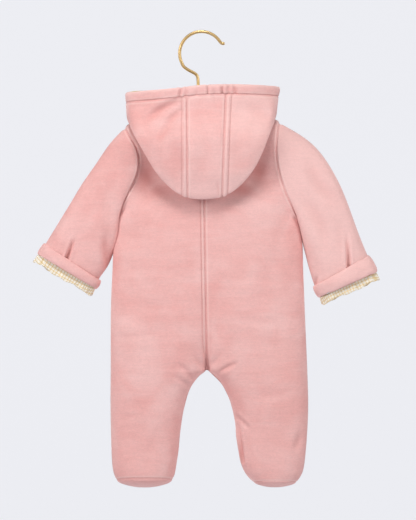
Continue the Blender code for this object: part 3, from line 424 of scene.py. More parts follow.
@dataclass(frozen=True)
class Brass:
    """Brushed pale brass wire and zip metal, a little dulled by handling."""

    bright: tuple[float, float, float, float] = (0.86, 0.62, 0.30, 1.0)
    dull: tuple[float, float, float, float] = (0.66, 0.44, 0.19, 1.0)
    film_scale: float = 130.0  # features in each metre, here and below
    hair_scale: float = 900.0

    def material(self) -> bpy.types.Material:
        """Builds the brass.

        Returns:
            The material.
        """
        bench = NodeBench("brass")
        film = bench.noise(self.film_scale, detail=4.0)
        hair = bench.noise(self.hair_scale, (1.0, 1.0, 0.12), 2.0)
        bench.feed(bench.shader.inputs["Base Color"], bench.blend(film, self.bright, self.dull))
        bench.shader.inputs["Metallic"].default_value = 1.0
        bench.feed(bench.shader.inputs["Roughness"], bench.ramped(film, 0.3, 0.7, 0.36, 0.5))
        bench.feed(bench.shader.inputs["Normal"], bench.bump(hair, 0.12, 0.0002))
        return bench.material


@dataclass(frozen=True)
class Thread:
    """Twisted sewing thread."""

    name: str
    colour: tuple[float, float, float, float]
    ply_scale: float = 2600.0  # features in each metre

    def material(self) -> bpy.types.Material:
        """Builds the thread.

        Returns:
            The material.
        """
        bench = NodeBench(self.name)
        ply = bench.noise(self.ply_scale, detail=1.0)
        shade = bench.ramped(ply, 0.3, 0.7, 0.86, 1.08)
        bench.feed(bench.shader.inputs["Base Color"], bench.blend(1.0, self.colour, shade, "MULTIPLY"))
        bench.shader.inputs["Roughness"].default_value = 0.55
        bench.shader.inputs["Sheen Weight"].default_value = 0.2
        bench.feed(bench.shader.inputs["Normal"], bench.bump(ply, 0.3, 0.0002))
        return bench.material


class Finishes:
    """The garment's materials, made once."""

    def __init__(self) -> None:
        """Makes every finish."""
        self.velour = Velour().material()
        self.check = CheckLining().material()
        self.tape = WovenTape().material()
        self.brass = Brass().material()
        self.thread = Thread("pink_thread", (0.74, 0.36, 0.34, 1.0)).material()
        self.teeth = Thread("zip_coil", (0.66, 0.33, 0.31, 1.0)).material()


# ---- cloth -----------------------------------------------------------------------


@dataclass(frozen=True)
class Fold:
    """One soft crease between two places in X and Z, bowed sideways."""

    face: Face
    start: tuple[float, float]
    end: tuple[float, float]
    width: float
    depth: float
    bow: float = 0.0
    grow: float = 0.0  # 1 is deepest at the end, -1 at the start
    lip: float = 0.3  # ridge beside the crease, as a share of its depth
    lip_at: float = 2.0  # how far off the ridge stands, in half widths
    tip: float = 0.03  # share of the length over which an end stays shallow

    def shift(self, points: np.ndarray, normals: np.ndarray) -> np.ndarray:
        """How far each point moves out.

        Args:
            points: Places in millimetres.
            normals: Outward unit normals.

        Returns:
            Millimetres along each normal, negative in the crease.
        """
        run = np.subtract(self.end, self.start)
        length = float(np.hypot(*run))
        ahead = run / length
        beside = np.array((-ahead[1], ahead[0]))
        place = points[:, [0, 2]] - self.start
        along = place @ ahead / length
        on = np.clip(along, 0, 1)
        across = place @ beside - self.bow * 4 * on * (1 - on)
        away = np.hypot(across, np.abs(along - on) * length) / (self.width / 2)
        even = np.sqrt(np.sin(math.pi * np.clip(on, self.tip, 1 - self.tip)))
        slanted = on if self.grow > 0 else 1 - on
        deep = self.depth * ((1 - abs(self.grow)) * even + abs(self.grow) * slanted)
        facing = np.clip(normals[:, 1] * self.face.value * FOLD_TURN, 0, 1)
        trough = np.exp(-(away**2))
        ridge = np.exp(-((away - self.lip_at) ** 2))
        return facing * deep * (self.lip * ridge - trough)


@dataclass(frozen=True)
class Swell:
    """Padding pushed sideways or in and out, round a place in X and Z."""

    centre: tuple[float, float]
    reach: tuple[float, float]
    push: tuple[float, float]  # along X and Y, Y away from the garment's middle
    face: Face | None = None  # both faces if none is given

    def shift(self, points: np.ndarray, normals: np.ndarray) -> np.ndarray:
        """How each point moves.

        Args:
            points: Places in millimetres.
            normals: Outward unit normals.

        Returns:
            Millimetres along X, Y and Z.
        """
        away = np.hypot(*((points[:, [0, 2]] - self.centre) / self.reach).T)
        share = np.exp(-(away**2))
        if self.face is not None:
            share = share * np.clip(0.5 + normals[:, 1] * self.face.value * SWELL_TURN, 0, 1)
        outward = np.sign(points[:, 1]) * self.push[1]
        return share[:, None] * np.stack([np.full(len(points), self.push[0]), outward, 0 * outward], -1)


@dataclass(frozen=True)
class Shade:
    """Painted shade round a place in X and Z, as where the hood's flanks shade the back."""

    centre: tuple[float, float]
    reach: tuple[float, float]
    depth: float  # share of the seam-and-shade colour painted there

    def share(self, points: np.ndarray) -> np.ndarray:
        """How much painted shade each point takes.

        Args:
            points: Places in millimetres.

        Returns:
            Shares from 0 to the depth.
        """
        away = np.hypot(*((points[:, [0, 2]] - self.centre) / self.reach).T)
        return self.depth * np.exp(-(away**2))


@dataclass(frozen=True)
class Seam:
    """How a piece lies beside its seam with a neighbour."""

    beside: str
    dip: float = 1.5
    reach: float = 5.0
    roll: float = 0.0  # height of a ridge along the seam
    roll_at: float = 3.2
    roll_wide: float = 1.8
    band: float = 0.0  # top stitches run this far from the seam
    closes_at: float | None = None  # height where the band has run out
    closes_over: float = 40.0  # height over which it narrows
    band_rise: float = 0.75  # of the padding between the seam and the stitches
    stitch_dip: float = 0.9
    stitch_wide: float = 1.5
    within: float = 2.2  # the neighbour's edge lies no farther off than this

    def band_at(self, heights: np.ndarray) -> np.ndarray:
        """Width of the stitched band at each height.

        Args:
            heights: Z in millimetres.

        Returns:
            Distance from the seam to the stitches.
        """
        if self.closes_at is None:
            return np.full(len(heights), self.band)
        share = np.clip((heights - self.closes_at) / self.closes_over, 0, 1)
        return self.band * share * (2 - share)

    def shift(self, away: np.ndarray, heights: np.ndarray) -> np.ndarray:
        """How far points at these distances from the seam move out.

        Args:
            away: Millimetres from the seam.
            heights: Z of each point.

        Returns:
            Millimetres along each normal.
        """
        moved = -self.dip * np.exp(-((away / self.reach) ** 2))
        if self.roll:
            moved += self.roll * np.exp(-(((away - self.roll_at) / self.roll_wide) ** 2))
        if self.band:
            wide = np.maximum(self.band_at(heights), 1e-3)
            puff = np.sin(math.pi * np.clip(away / wide, 0, 1)) * np.clip(wide / self.band, 0, 1)
            sunk = np.exp(-(((away - wide) / self.stitch_wide) ** 2))
            moved += self.band_rise * puff - self.stitch_dip * sunk
        return moved


def waves(points: np.ndarray, length: float, seed: int, count: int = 7) -> np.ndarray:
    """Gentle unevenness from a few crossing waves.

    Args:
        points: Places in millimetres.
        length: Usual wave length in millimetres.
        seed: Picks the waves.
        count: How many waves cross.

    Returns:
        About -1 to 1 for each point.
    """
    pick = np.random.default_rng(seed)
    total = np.zeros(len(points))
    for _ in range(count):
        way = pick.normal(size=3)
        way /= np.linalg.norm(way)
        long = length * pick.uniform(0.7, 1.6)
        total += np.sin(points @ way * 2 * math.pi / long + pick.uniform(0, 2 * math.pi))
    return total / math.sqrt(count)


def backed(tree: BVHTree, face: bmesh.types.BMFace) -> float:
    """How squarely the far side of a padded wall lies behind a polygon.

    Args:
        tree: Search tree of the wall.
        face: The polygon.

    Returns:
        1 where the far side is parallel, 0 where none is near.
    """
    inward = -face.normal
    start = face.calc_center_median()
    behind = tree.ray_cast(start, inward, WALL_LIMIT)
    while behind[0] is not None and behind[1].dot(inward) < GRAZING:
        start = behind[0] + inward * 1e-5
        behind = tree.ray_cast(start, inward, WALL_LIMIT)
    return 0.0 if behind[0] is None else behind[1].dot(inward)


def islands(faces: list[bmesh.types.BMFace]) -> list[list[bmesh.types.BMFace]]:
    """Sets of polygons that join without a sharp bend, the largest area first.

    Args:
        faces: The polygons to sort.

    Returns:
        The sets.
    """
    left = set(faces)
    found = []
    for first in faces:
        if first not in left:
            continue
        left.remove(first)
        group = [first]
        for face in group:
            for other in (near for edge in face.edges for near in edge.link_faces):
                if other in left and face.normal.dot(other.normal) > ONE_SKIN:
                    left.remove(other)
                    group.append(other)
        found.append(group)
    return sorted(found, key=lambda group: -sum(face.calc_area() for face in group))


def labelled(bm: bmesh.types.BMesh) -> None:
    """Marks each polygon of a padded wall as outer, inner or edge.

    Both skins start from the polygons that have the other skin squarely behind them, and
    spread over the gentlest bends first. The cut edge is what touches both.

    Args:
        bm: The welded wall.
    """
    bm.faces.ensure_lookup_table()
    bm.normal_update()
    tree = BVHTree.FromBMesh(bm)
    square = [backed(tree, face) for face in bm.faces]
    seeds = islands([face for face in bm.faces if square[face.index] > SQUARE])[:2]
    layers: dict[int, int] = {}
    waiting: list[tuple[float, int, int]] = []

    def spread(face: bmesh.types.BMFace, layer: int) -> None:
        """Gives a polygon its layer and lists its neighbours as next in line.

        Args:
            face: The polygon.
            layer: The layer it belongs to.
        """
        layers[face.index] = layer
        for edge in face.edges:
            for near in edge.link_faces:
                bend = edge.calc_face_angle(math.pi)
                if square[near.index] < SLANTED:
                    bend += SLANT_COST
                if near.index not in layers:
                    heapq.heappush(waiting, (bend, near.index, layer))

    for layer, group in zip((Layer.OUTER, Layer.INNER), seeds):
        for face in group:
            spread(face, layer)
    while waiting:
        _, index, layer = heapq.heappop(waiting)
        if index in layers:
            continue
        face = bm.faces[index]
        around = {layers.get(near.index) for edge in face.edges for near in edge.link_faces}
        if Layer.OUTER in around and Layer.INNER in around:
            layers[index] = Layer.EDGE
        else:
            spread(face, layer)
    for face in bm.faces:
        face.material_index = layers.get(face.index, Layer.EDGE)


def cage(node: str) -> bmesh.types.BMesh:
    """Welded copy of a CAD node's mesh, its triangles paired into quads.

    Args:
        node: The CAD node's name.

    Returns:
        The copy, which the caller frees.
    """
    bm = bmesh.new()
    bm.from_mesh(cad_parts[node].data)
    bmesh.ops.remove_doubles(bm, verts=bm.verts, dist=WELD)
    bmesh.ops.join_triangles(
        bm, faces=bm.faces, cmp_seam=False, cmp_sharp=False, cmp_uvs=False, cmp_vcols=False,
        cmp_materials=False, angle_face_threshold=0.9, angle_shape_threshold=2.5,
        topology_influence=1.6, deselect_joined=False,
    )
    return bm


def evaluated(obj: bpy.types.Object) -> bpy.types.Mesh:
    """Plain mesh of an object with its modifiers, the object then removed.

    Args:
        obj: A loose object.

    Returns:
        The mesh.
    """
    bpy.context.scene.collection.objects.link(obj)
    bpy.context.view_layer.update()
    graph = bpy.context.evaluated_depsgraph_get()
    mesh = bpy.data.meshes.new_from_object(obj.evaluated_get(graph))
    bpy.data.objects.remove(obj)
    return mesh


def grown(node: str, levels: int, crisp: bool) -> bpy.types.Mesh:
    """Fine mesh of a wall by subdivision.

    Args:
        node: The CAD node's name.
        levels: Rounds of subdivision.
        crisp: Whether the cut edges stay sharp, as at a seam.

    Returns:
        The fine mesh, with its layers as material indices.
    """
    bm = cage(node)
    labelled(bm)
    if crisp:
        keep = bm.edges.layers.float.get("crease_edge") or bm.edges.layers.float.new("crease_edge")
        for edge in bm.edges:
            layers = {face.material_index for face in edge.link_faces}
            turned = layers == {Layer.EDGE} and edge.calc_face_angle(0.0) > CORNER
            if turned or len(layers) > 1:
                edge[keep] = 1.0
    mesh = bpy.data.meshes.new(node + "_cage")
    bm.to_mesh(mesh)
    bm.free()
    holder = bpy.data.objects.new(node + "_cage", mesh)
    finer = holder.modifiers.new("finer", "SUBSURF")
    finer.levels = levels
    finer.render_levels = levels
    return evaluated(holder)


def bridged(flags: np.ndarray, breadth: int) -> np.ndarray:
    """Ring of flags with its short breaks filled in.

    Args:
        flags: A flag for each point of a ring.
        breadth: Half the longest break that is filled, in points.

    Returns:
        The filled flags.
    """
    steps = [step for step in range(-breadth, breadth + 1) if step]
    wide = flags | np.any([np.roll(flags, step) for step in steps], axis=0)
    return wide & np.all([np.roll(wide, step) for step in steps], axis=0)


def unit(vectors: np.ndarray) -> np.ndarray:
    """The vectors at length one."""
    return vectors / np.maximum(np.linalg.norm(vectors, axis=-1, keepdims=True), 1e-12)


def tree_of(points: np.ndarray) -> KDTree:
    """Search tree over points, in their own units.

    Args:
        points: The places.

    Returns:
        The balanced tree, numbered as the points are.
    """
    tree = KDTree(len(points))
    for index, point in enumerate(points):
        tree.insert(point, index)
    tree.balance()
    return tree


def gaps(points: np.ndarray, run: np.ndarray) -> np.ndarray:
    """Distance from each point to a run of points.

    Args:
        points: Places in millimetres.
        run: Neighbouring points of a line, in millimetres.

    Returns:
        Millimetres, capped at FAR.
    """
    steps = np.arange(0, len(run) - 1 + RUN_STEP / 2, RUN_STEP)
    whole = np.arange(len(run))
    close = np.stack([np.interp(steps, whole, run[:, axis]) for axis in range(3)], -1)
    tree = tree_of(close)
    away = np.full(len(points), FAR)
    low, high = run.min(0) - SEAM_ZONE, run.max(0) + SEAM_ZONE
    for index in np.flatnonzero(((points > low) & (points < high)).all(1)):
        away[index] = tree.find(points[index])[2]
    return away


class Piece:
    """A cut piece of cloth: the fine, closed skin of one solid."""

    def __init__(self, node: str, levels: int = 3, crisp: bool = True, turned: bool = False) -> None:
        """Reads the CAD node and makes its skin finer.

        Args:
            node: The CAD node's name.
            levels: Rounds of subdivision.
            crisp: Whether the cut edges stay sharp.
            turned: Whether the smaller skin is the outer one.
        """
        self.node = node
        self.mesh = grown(node, levels, crisp)
        count = len(self.mesh.vertices)
        flat = np.empty(count * 3)
        self.mesh.vertices.foreach_get("co", flat)
        self.points = flat.reshape(-1, 3) / MM
        corners = np.empty(len(self.mesh.loops), np.int64)
        self.mesh.loops.foreach_get("vertex_index", corners)
        self.quads = corners.reshape(-1, 4)
        self.layer = np.zeros(len(self.quads), np.int64)
        self.mesh.polygons.foreach_get("material_index", self.layer)
        if turned:
            self.layer = np.array((Layer.INNER, Layer.OUTER, Layer.EDGE))[self.layer]
        self.outer = np.unique(self.quads[self.layer == Layer.OUTER])
        self.inner = np.unique(self.quads[self.layer == Layer.INNER])
        over = tree_of(self.points[self.outer])
        self.mates = np.array([over.find(self.points[i])[1] for i in self.inner], np.int64)
        self.rest = self.points.copy()
        self.rim, self.rim_ends, self.rim_share = self.find_rim()
        self.normals = self.skin_normals()
        self.loops = self.border_loops()
        self.runs: dict[str, np.ndarray] = {}
        self.seam_near = np.full(count, FAR)
        self.stitch_off = np.full(count, FAR)
        self.faced = np.zeros(len(self.quads), bool)
        self.map_turn = 0.0
        self.nap: float | np.ndarray = 0.0
        # painted shade, as a share of the seam-and-shade colour
        self.seam_and_painted_shade = np.zeros(count)
        # painted highlight, as a share of the ridge colour
        self.pale = np.zeros(count)

    def find_rim(self) -> tuple[np.ndarray, np.ndarray, np.ndarray]:
        """Finds the points between the two skins, on the cut edge.

        Returns:
            Their indices, the nearest point of each skin, and how far across they lie.
        """
        edge = np.unique(self.quads[self.layer == Layer.EDGE])
        rim = np.setdiff1d(edge, np.union1d(self.outer, self.inner))
        ends, away = [], []
        for skin in (self.outer, self.inner):
            border = np.intersect1d(edge, skin)
            tree = tree_of(self.points[border])
            found = [tree.find(self.points[i]) for i in rim]
            ends.append(border[[hit[1] for hit in found]] if len(rim) else rim)
            away.append(np.array([hit[2] for hit in found]))
        return rim, np.stack(ends), away[0] / np.maximum(away[0] + away[1], 1e-9)

    def settle_rim(self) -> None:
        """Moves the cut edge along with the two skins that it joins."""
        moved = self.points - self.rest
        share = self.rim_share[:, None]
        over, under = self.rim_ends
        self.points[self.rim] = self.rest[self.rim] + moved[over] * (1 - share) + moved[under] * share

    def skin_normals(self) -> np.ndarray:
        """Unit normals, taken from the outer skin alone where a point lies on it.

        Returns:
            One normal for each point.
        """
        a, b, c, d = (self.points[self.quads[:, k]] for k in range(4))
        facing = np.cross(c - a, d - b)
        total = np.zeros_like(self.points)
        skin = np.zeros_like(self.points)
        mine = self.layer == Layer.OUTER
        for k in range(4):
            np.add.at(total, self.quads[:, k], facing)
            np.add.at(skin, self.quads[mine, k], facing[mine])
        total[self.outer] = skin[self.outer]
        return unit(total)

    def border_loops(self) -> list[np.ndarray]:
        """Closed rings of points where the outer skin ends.

        Returns:
            Indices of each ring's points, in order.
        """
        quads = self.quads[self.layer == Layer.OUTER]
        pairs = np.concatenate([quads[:, [k, (k + 1) % 4]] for k in range(4)])
        keys, counts = np.unique(np.sort(pairs, axis=1), axis=0, return_counts=True)
        links: dict[int, list[int]] = {}
        for a, b in keys[counts == 1]:
            links.setdefault(int(a), []).append(int(b))
            links.setdefault(int(b), []).append(int(a))
        rings = []
        while links:
            start = next(iter(links))
            ring = [start]
            ahead = links.pop(start)
            while ahead:
                step = next((n for n in ahead if n in links), None)
                if step is None:
                    break
                ring.append(step)
                ahead = links.pop(step)
            rings.append(np.array(ring))
        return rings

    def edge_beside(self, other: "Piece", reach: float = 2.2) -> np.ndarray:
        """The longest stretch of this piece's border that lies beside another piece.

        Args:
            other: The neighbour.
            reach: Greatest gap between the two, in millimetres.

        Returns:
            Indices of the border points, in order, or none.
        """
        tree = tree_of(other.points[np.concatenate(other.loops)] if other.loops else other.points)
        best = np.array([], np.int64)
        for ring in self.loops:
            close = np.array([tree.find(self.points[i])[2] < reach for i in ring])
            near = bridged(close, SHORT_BREAK)
            if near.all():
                run = np.append(ring, ring[0])
            else:
                turned = int(np.argmin(near))
                ring, near = np.roll(ring, -turned), np.roll(near, -turned)
                changes = np.flatnonzero(np.diff(np.concatenate([[0], near.astype(int), [0]])))
                spans = changes.reshape(-1, 2)
                if not len(spans):
                    continue
                start, end = max(spans, key=lambda span: span[1] - span[0])
                run = ring[start:end]
            if len(run) > len(best):
                best = run
        return best

    def find_runs(self, seams: list[tuple[Seam, "Piece"]]) -> None:
        """Finds the border points along each seam, before anything is pressed.

        Args:
            seams: Each seam with its neighbour.
        """
        for seam, other in seams:
            run = self.edge_beside(other, seam.within)
            if len(run) < 3:
                LOG.warning("%s has no edge beside %s", self.node, seam.beside)
                continue
            self.runs[seam.beside] = run

    def sew(self, seams: list[Seam]) -> None:
        """Presses the seams into the skin.

        Args:
            seams: The piece's seams.
        """
        moved = np.zeros(len(self.points))
        skin = self.points[self.outer]
        for seam in (seam for seam in seams if seam.beside in self.runs):
            run = self.runs[seam.beside]
            away = gaps(skin, self.points[run])
            heights = skin[:, 2]
            moved[self.outer] += seam.shift(away, heights)
            self.seam_near[self.outer] = np.minimum(self.seam_near[self.outer], away)
            if seam.band:
                off = away - seam.band_at(heights)
                nearer = np.abs(off) < np.abs(self.stitch_off[self.outer])
                self.stitch_off[self.outer] = np.where(nearer, off, self.stitch_off[self.outer])
        self.points = self.points + self.normals * moved[:, None]

    def tuck(self, least: float = 0.9, enough: float = 0.855) -> None:
        """Holds the inner skin behind the outer one, where a tight bend brings them close.

        Where it can't be held, as inside a sharp fold, it is faced with the outer cloth.

        Args:
            least: Thickness that a thin wall is brought to, in millimetres.
            enough: Thickness at which it is left alone.
        """
        skin = self.quads[self.layer == Layer.OUTER]
        tree = BVHTree.FromPolygons(self.points.tolist(), skin.tolist())
        lining = np.setdiff1d(self.inner, skin)
        proud = np.zeros(len(self.points), bool)
        for index in lining:
            for _ in range(2):
                place = Vector(self.points[index])
                spot, normal, _, away = tree.find_nearest(place)
                depth = (spot - place).dot(normal)
                if away > APART or depth > enough:
                    break
                self.points[index] -= np.array(normal) * (least - depth)
            else:
                proud[index] = True
        self.faced = (self.layer == Layer.INNER) & proud[self.quads].any(1)

    def halfway(self, other: "Piece") -> np.ndarray:
        """Middle of the open seam from each border point beside another piece.

        Args:
            other: The neighbour.

        Returns:
            Places in millimetres, in the order of the run.
        """
        mine = self.points[self.runs[other.node]]
        theirs = other.points[other.runs[self.node]]
        tree = tree_of(theirs)
        near = np.array([tree.find(place)[0] for place in mine])
        small = np.linalg.norm(near - mine, axis=1, keepdims=True) < OPEN_SEAM
        return np.where(small, (mine + near) / 2, mine)

    def press(self, folds: tuple[Fold, ...]) -> None:
        """Presses soft folds into the outer skin, and the inner skin gives way, and paints shade into
        the creases.

        Args:
            folds: The folds of this piece.
        """
        skin, facing = self.points[self.outer], self.normals[self.outer]
        moved = sum((fold.shift(skin, facing) for fold in folds), np.zeros(len(skin)))
        # painted shade in the creases, darker as each fold is deeper
        self.seam_and_painted_shade[self.outer] += np.clip(-moved, 0, PAINTED_SHADE_DEPTH_LIMIT) * PAINTED_SHADE_PER_MM
        moved = facing * moved[:, None]
        self.points[self.inner] += moved[self.mates]
        self.points[self.outer] += moved

    def paint_shade(self, shades: tuple[Shade, ...]) -> None:
        """Paints shade into the colour round the given places.

        Args:
            shades: The places of painted shade and how deep each is.
        """
        for shade in shades:
            self.seam_and_painted_shade = np.maximum(self.seam_and_painted_shade, shade.share(self.points))

    def paint_hem_highlight(self, share: float, fade: float) -> None:
        """Paints a highlight along the free hem, where the cloth turns over.

        Args:
            share: Most that it takes of the painted highlight colour.
            fade: How far in it reaches, in millimetres.
        """
        free = np.setdiff1d(np.concatenate(self.loops), np.concatenate([[], *self.runs.values()]))
        tree = tree_of(self.points[free.astype(int)])
        away = np.array([tree.find(place)[2] for place in self.points])
        self.pale = np.maximum(self.pale, share * np.exp(-((away / fade) ** 2)))

    def push(self, swells: tuple[Swell, ...]) -> None:
        """Moves the whole wall where the padding is pushed aside.

        Args:
            swells: The places and how far each pushes.
        """
        for swell in swells:
            self.points = self.points + swell.shift(self.points, self.normals)

    def ruffle(self, height: float, length: float, seed: int) -> None:
        """Lets the padding lie a little unevenly, less beside the seams.

        Args:
            height: Usual height of the unevenness, in millimetres.
            length: Usual wave length, in millimetres.
            seed: Picks the waves.
        """
        calm = np.clip(self.seam_near[self.outer] / CALM_ZONE, 0, 1)
        moved = height * calm * waves(self.points[self.outer], length, seed)
        self.points[self.outer] += self.normals[self.outer] * moved[:, None]

    def inset(self, run: np.ndarray, widths: np.ndarray) -> np.ndarray:
        """A line on the outer skin at a distance from a stretch of its border.

        Args:
            run: Border point indices in order.
            widths: Distance from the border at each, in millimetres.

        Returns:
            Places on the skin in millimetres.
        """
        skin = self.quads[self.layer == Layer.OUTER]
        tree = BVHTree.FromPolygons(self.points.tolist(), skin.tolist())
        border = self.points[run]
        along = unit(np.gradient(border, axis=0))
        inward = unit(np.cross(self.normals[run], along))
        places = []
        for sign in (1.0, -1.0):
            trial = border + sign * inward * widths[:, None]
            found = [tree.find_nearest(Vector(place)) for place in trial]
            places.append((sum(hit[3] for hit in found), np.array([hit[0] for hit in found])))
        line = min(places, key=lambda pair: pair[0])[1]
        true = np.abs(gaps(line, border) - widths) < ROW_SLACK * widths
        changes = np.flatnonzero(np.diff(np.concatenate([[0], true.astype(int), [0]])))
        start, end = max(changes.reshape(-1, 2), key=lambda span: span[1] - span[0])
        return line[start:end]

    def finish(self, name: str, outside: bpy.types.Material, inside: bpy.types.Material,
               slot: str) -> bpy.types.Object:
        """Makes the object that stands for the CAD node.

        Args:
            name: The object's name.
            outside: Material of the outer skin and the edges.
            inside: Material of the inner skin.
            slot: The record's material slot.

        Returns:
            The finished object, riding on the suit.
        """
        self.tuck()
        self.settle_rim()
        self.mesh.vertices.foreach_set("co", (self.points * MM).ravel())
        self.mesh.materials.clear()
        for material in (outside, inside, outside):
            self.mesh.materials.append(material)
        finishes = np.where(self.faced, Layer.EDGE, self.layer)
        self.mesh.polygons.foreach_set("material_index", finishes.astype(np.int32))
        # painted shade and painted highlight go to the material along with the seam distances and the
        # nap
        shown = {
            "seam_near": self.seam_near,
            "stitch_off": self.stitch_off,
            "nap": np.full(len(self.points), self.nap),
            "seam_and_painted_shade": self.seam_and_painted_shade,
            "pale": self.pale,
        }
        for key, values in shown.items():
            layer = self.mesh.attributes.new(key, "FLOAT", "POINT")
            layer.data.foreach_set("value", values.astype(np.float32))
        self.map_cloth()
        self.mesh.shade_smooth()
        self.crease_border()
        self.mesh.update()
        return placed(name, self.mesh, slot, self.node)

    def crease_border(self) -> None:
        """Keeps the outer skin's shading apart from the cut edge's."""
        ends = np.empty(len(self.mesh.edges) * 2, np.int64)
        self.mesh.edges.foreach_get("vertices", ends)
        pairs = np.sort(ends.reshape(-1, 2), axis=1) @ (len(self.points), 1)
        near = []
        for layer in (Layer.OUTER, Layer.EDGE):
            quads = self.quads[self.layer == layer]
            sides = np.concatenate([quads[:, [k, (k + 1) % 4]] for k in range(4)])
            near.append(np.isin(pairs, np.sort(sides, axis=1) @ (len(self.points), 1)))
        self.mesh.edges.foreach_set("use_edge_sharp", near[0] & near[1])

    def map_cloth(self) -> None:
        """Lays the cloth's own map over the piece, in metres along its grain."""
        turn = np.array(((math.cos(self.map_turn), -math.sin(self.map_turn)),
                         (math.sin(self.map_turn), math.cos(self.map_turn))))
        grain = self.points[:, [0, 2]] @ turn.T
        grain += self.points[:, 1:2] * np.array((1.0, 0.45))
        for old in list(self.mesh.uv_layers):
            self.mesh.uv_layers.remove(old)
        layer = self.mesh.uv_layers.new(name="cloth")
        layer.data.foreach_set("uv", (grain[self.quads.ravel()] * MM).astype(np.float32).ravel())


def placed(name: str, mesh: bpy.types.Mesh, slot: str, *nodes: str,
           body: str = "suit") -> bpy.types.Object:
    """Puts a finished mesh in the scene, on its body.

    Args:
        name: The object's name.
        mesh: Its mesh, placed in the frame.
        slot: The record's material slot. Not used.
        *nodes: CAD nodes that it stands for.
        body: The CAD body that it rides on.

    Returns:
        The object.
    """
    obj = bpy.data.objects.new(name, mesh)
    bpy.context.scene.collection.objects.link(obj)
    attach(obj, body)
    if nodes:
        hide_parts(*nodes)
    LOG.info("%s: %d faces", name, len(mesh.polygons))
    return obj


# ---- what repeats along a seam ------------------------------------------------------


@dataclass(frozen=True)
class RowTree:
    """Geometry Nodes tree that sets small solids along curves."""

    name: str
    block: bool = False  # a zip tooth rather than a stitch

    def build(self) -> bpy.types.NodeTree:
        """Makes the tree, with its sizes as named inputs.

        Returns:
            The Geometry Nodes tree.
        """
        tree = bpy.data.node_groups.new(self.name, "GeometryNodeTree")
        face = tree.interface
        face.new_socket("Geometry", in_out="INPUT", socket_type="NodeSocketGeometry")
        for label in ("Pitch", "Length", "Width", "Height", "Offset"):
            face.new_socket(label, in_out="INPUT", socket_type="NodeSocketFloat")
        face.new_socket("Material", in_out="INPUT", socket_type="NodeSocketMaterial")
        face.new_socket("Geometry", in_out="OUTPUT", socket_type="NodeSocketGeometry")
        nodes, links = tree.nodes, tree.links
        given = nodes.new("NodeGroupInput").outputs
        spread = nodes.new("GeometryNodeResampleCurve")
        spread.mode = "LENGTH"
        links.new(given["Geometry"], spread.inputs["Curve"])
        links.new(given["Pitch"], spread.inputs["Length"])
        tangent = nodes.new("GeometryNodeInputTangent")
        turn = nodes.new("FunctionNodeAlignEulerToVector")
        turn.axis = "Z"
        links.new(tangent.outputs[0], turn.inputs["Vector"])
        square = nodes.new("FunctionNodeAlignEulerToVector")
        square.axis = "X"
        square.pivot_axis = "Z"
        square.inputs["Vector"].default_value = (1.0, 0.0, 0.0)
        links.new(turn.outputs[0], square.inputs["Rotation"])
        size = nodes.new("ShaderNodeCombineXYZ")
        for socket, label in zip(size.inputs, ("Width", "Height", "Length")):
            links.new(given[label], socket)
        if self.block:
            solid = nodes.new("GeometryNodeMeshCube")
            grown_by = solid.inputs["Size"]
        else:
            solid = nodes.new("GeometryNodeMeshUVSphere")
            solid.inputs["Segments"].default_value = 6
            solid.inputs["Rings"].default_value = 5
            solid.inputs["Radius"].default_value = 0.5
            grown_by = None
        shift = nodes.new("GeometryNodeSetPosition")
        links.new(spread.outputs["Curve"], shift.inputs["Geometry"])
        links.new(self.sideways(nodes, links, given["Offset"]), shift.inputs["Offset"])
        lay = nodes.new("GeometryNodeInstanceOnPoints")
        links.new(shift.outputs["Geometry"], lay.inputs["Points"])
        links.new(solid.outputs["Mesh"], lay.inputs["Instance"])
        links.new(square.outputs[0], lay.inputs["Rotation"])
        links.new(size.outputs[0], grown_by if grown_by is not None else lay.inputs["Scale"])
        real = nodes.new("GeometryNodeRealizeInstances")
        links.new(lay.outputs["Instances"], real.inputs["Geometry"])
        finish = nodes.new("GeometryNodeSetMaterial")
        links.new(real.outputs["Geometry"], finish.inputs["Geometry"])
        links.new(given["Material"], finish.inputs["Material"])
        links.new(finish.outputs["Geometry"], nodes.new("NodeGroupOutput").inputs[0])
        return tree

    def sideways(self, nodes: bpy.types.Nodes, links: bpy.types.NodeLinks,
                 offset: bpy.types.NodeSocket) -> bpy.types.NodeSocket:
        """Offset of each point along X, to one side and the other in turn.

        Args:
            nodes: The tree's nodes.
            links: The tree's links.
            offset: Half the spread.

        Returns:
            A vector socket.
        """
        index = nodes.new("GeometryNodeInputIndex")
        odd = nodes.new("ShaderNodeMath")
        odd.operation = "MODULO"
        odd.inputs[1].default_value = 2.0
        links.new(index.outputs[0], odd.inputs[0])
        signed = nodes.new("ShaderNodeMath")
        signed.operation = "MULTIPLY_ADD"
        signed.inputs[1].default_value = 2.0
        signed.inputs[2].default_value = -1.0
        links.new(odd.outputs[0], signed.inputs[0])
        wide = nodes.new("ShaderNodeMath")
        wide.operation = "MULTIPLY"
        links.new(signed.outputs[0], wide.inputs[0])
        links.new(offset, wide.inputs[1])
        vector = nodes.new("ShaderNodeCombineXYZ")
        links.new(wide.outputs[0], vector.inputs["X"])
        return vector.outputs[0]


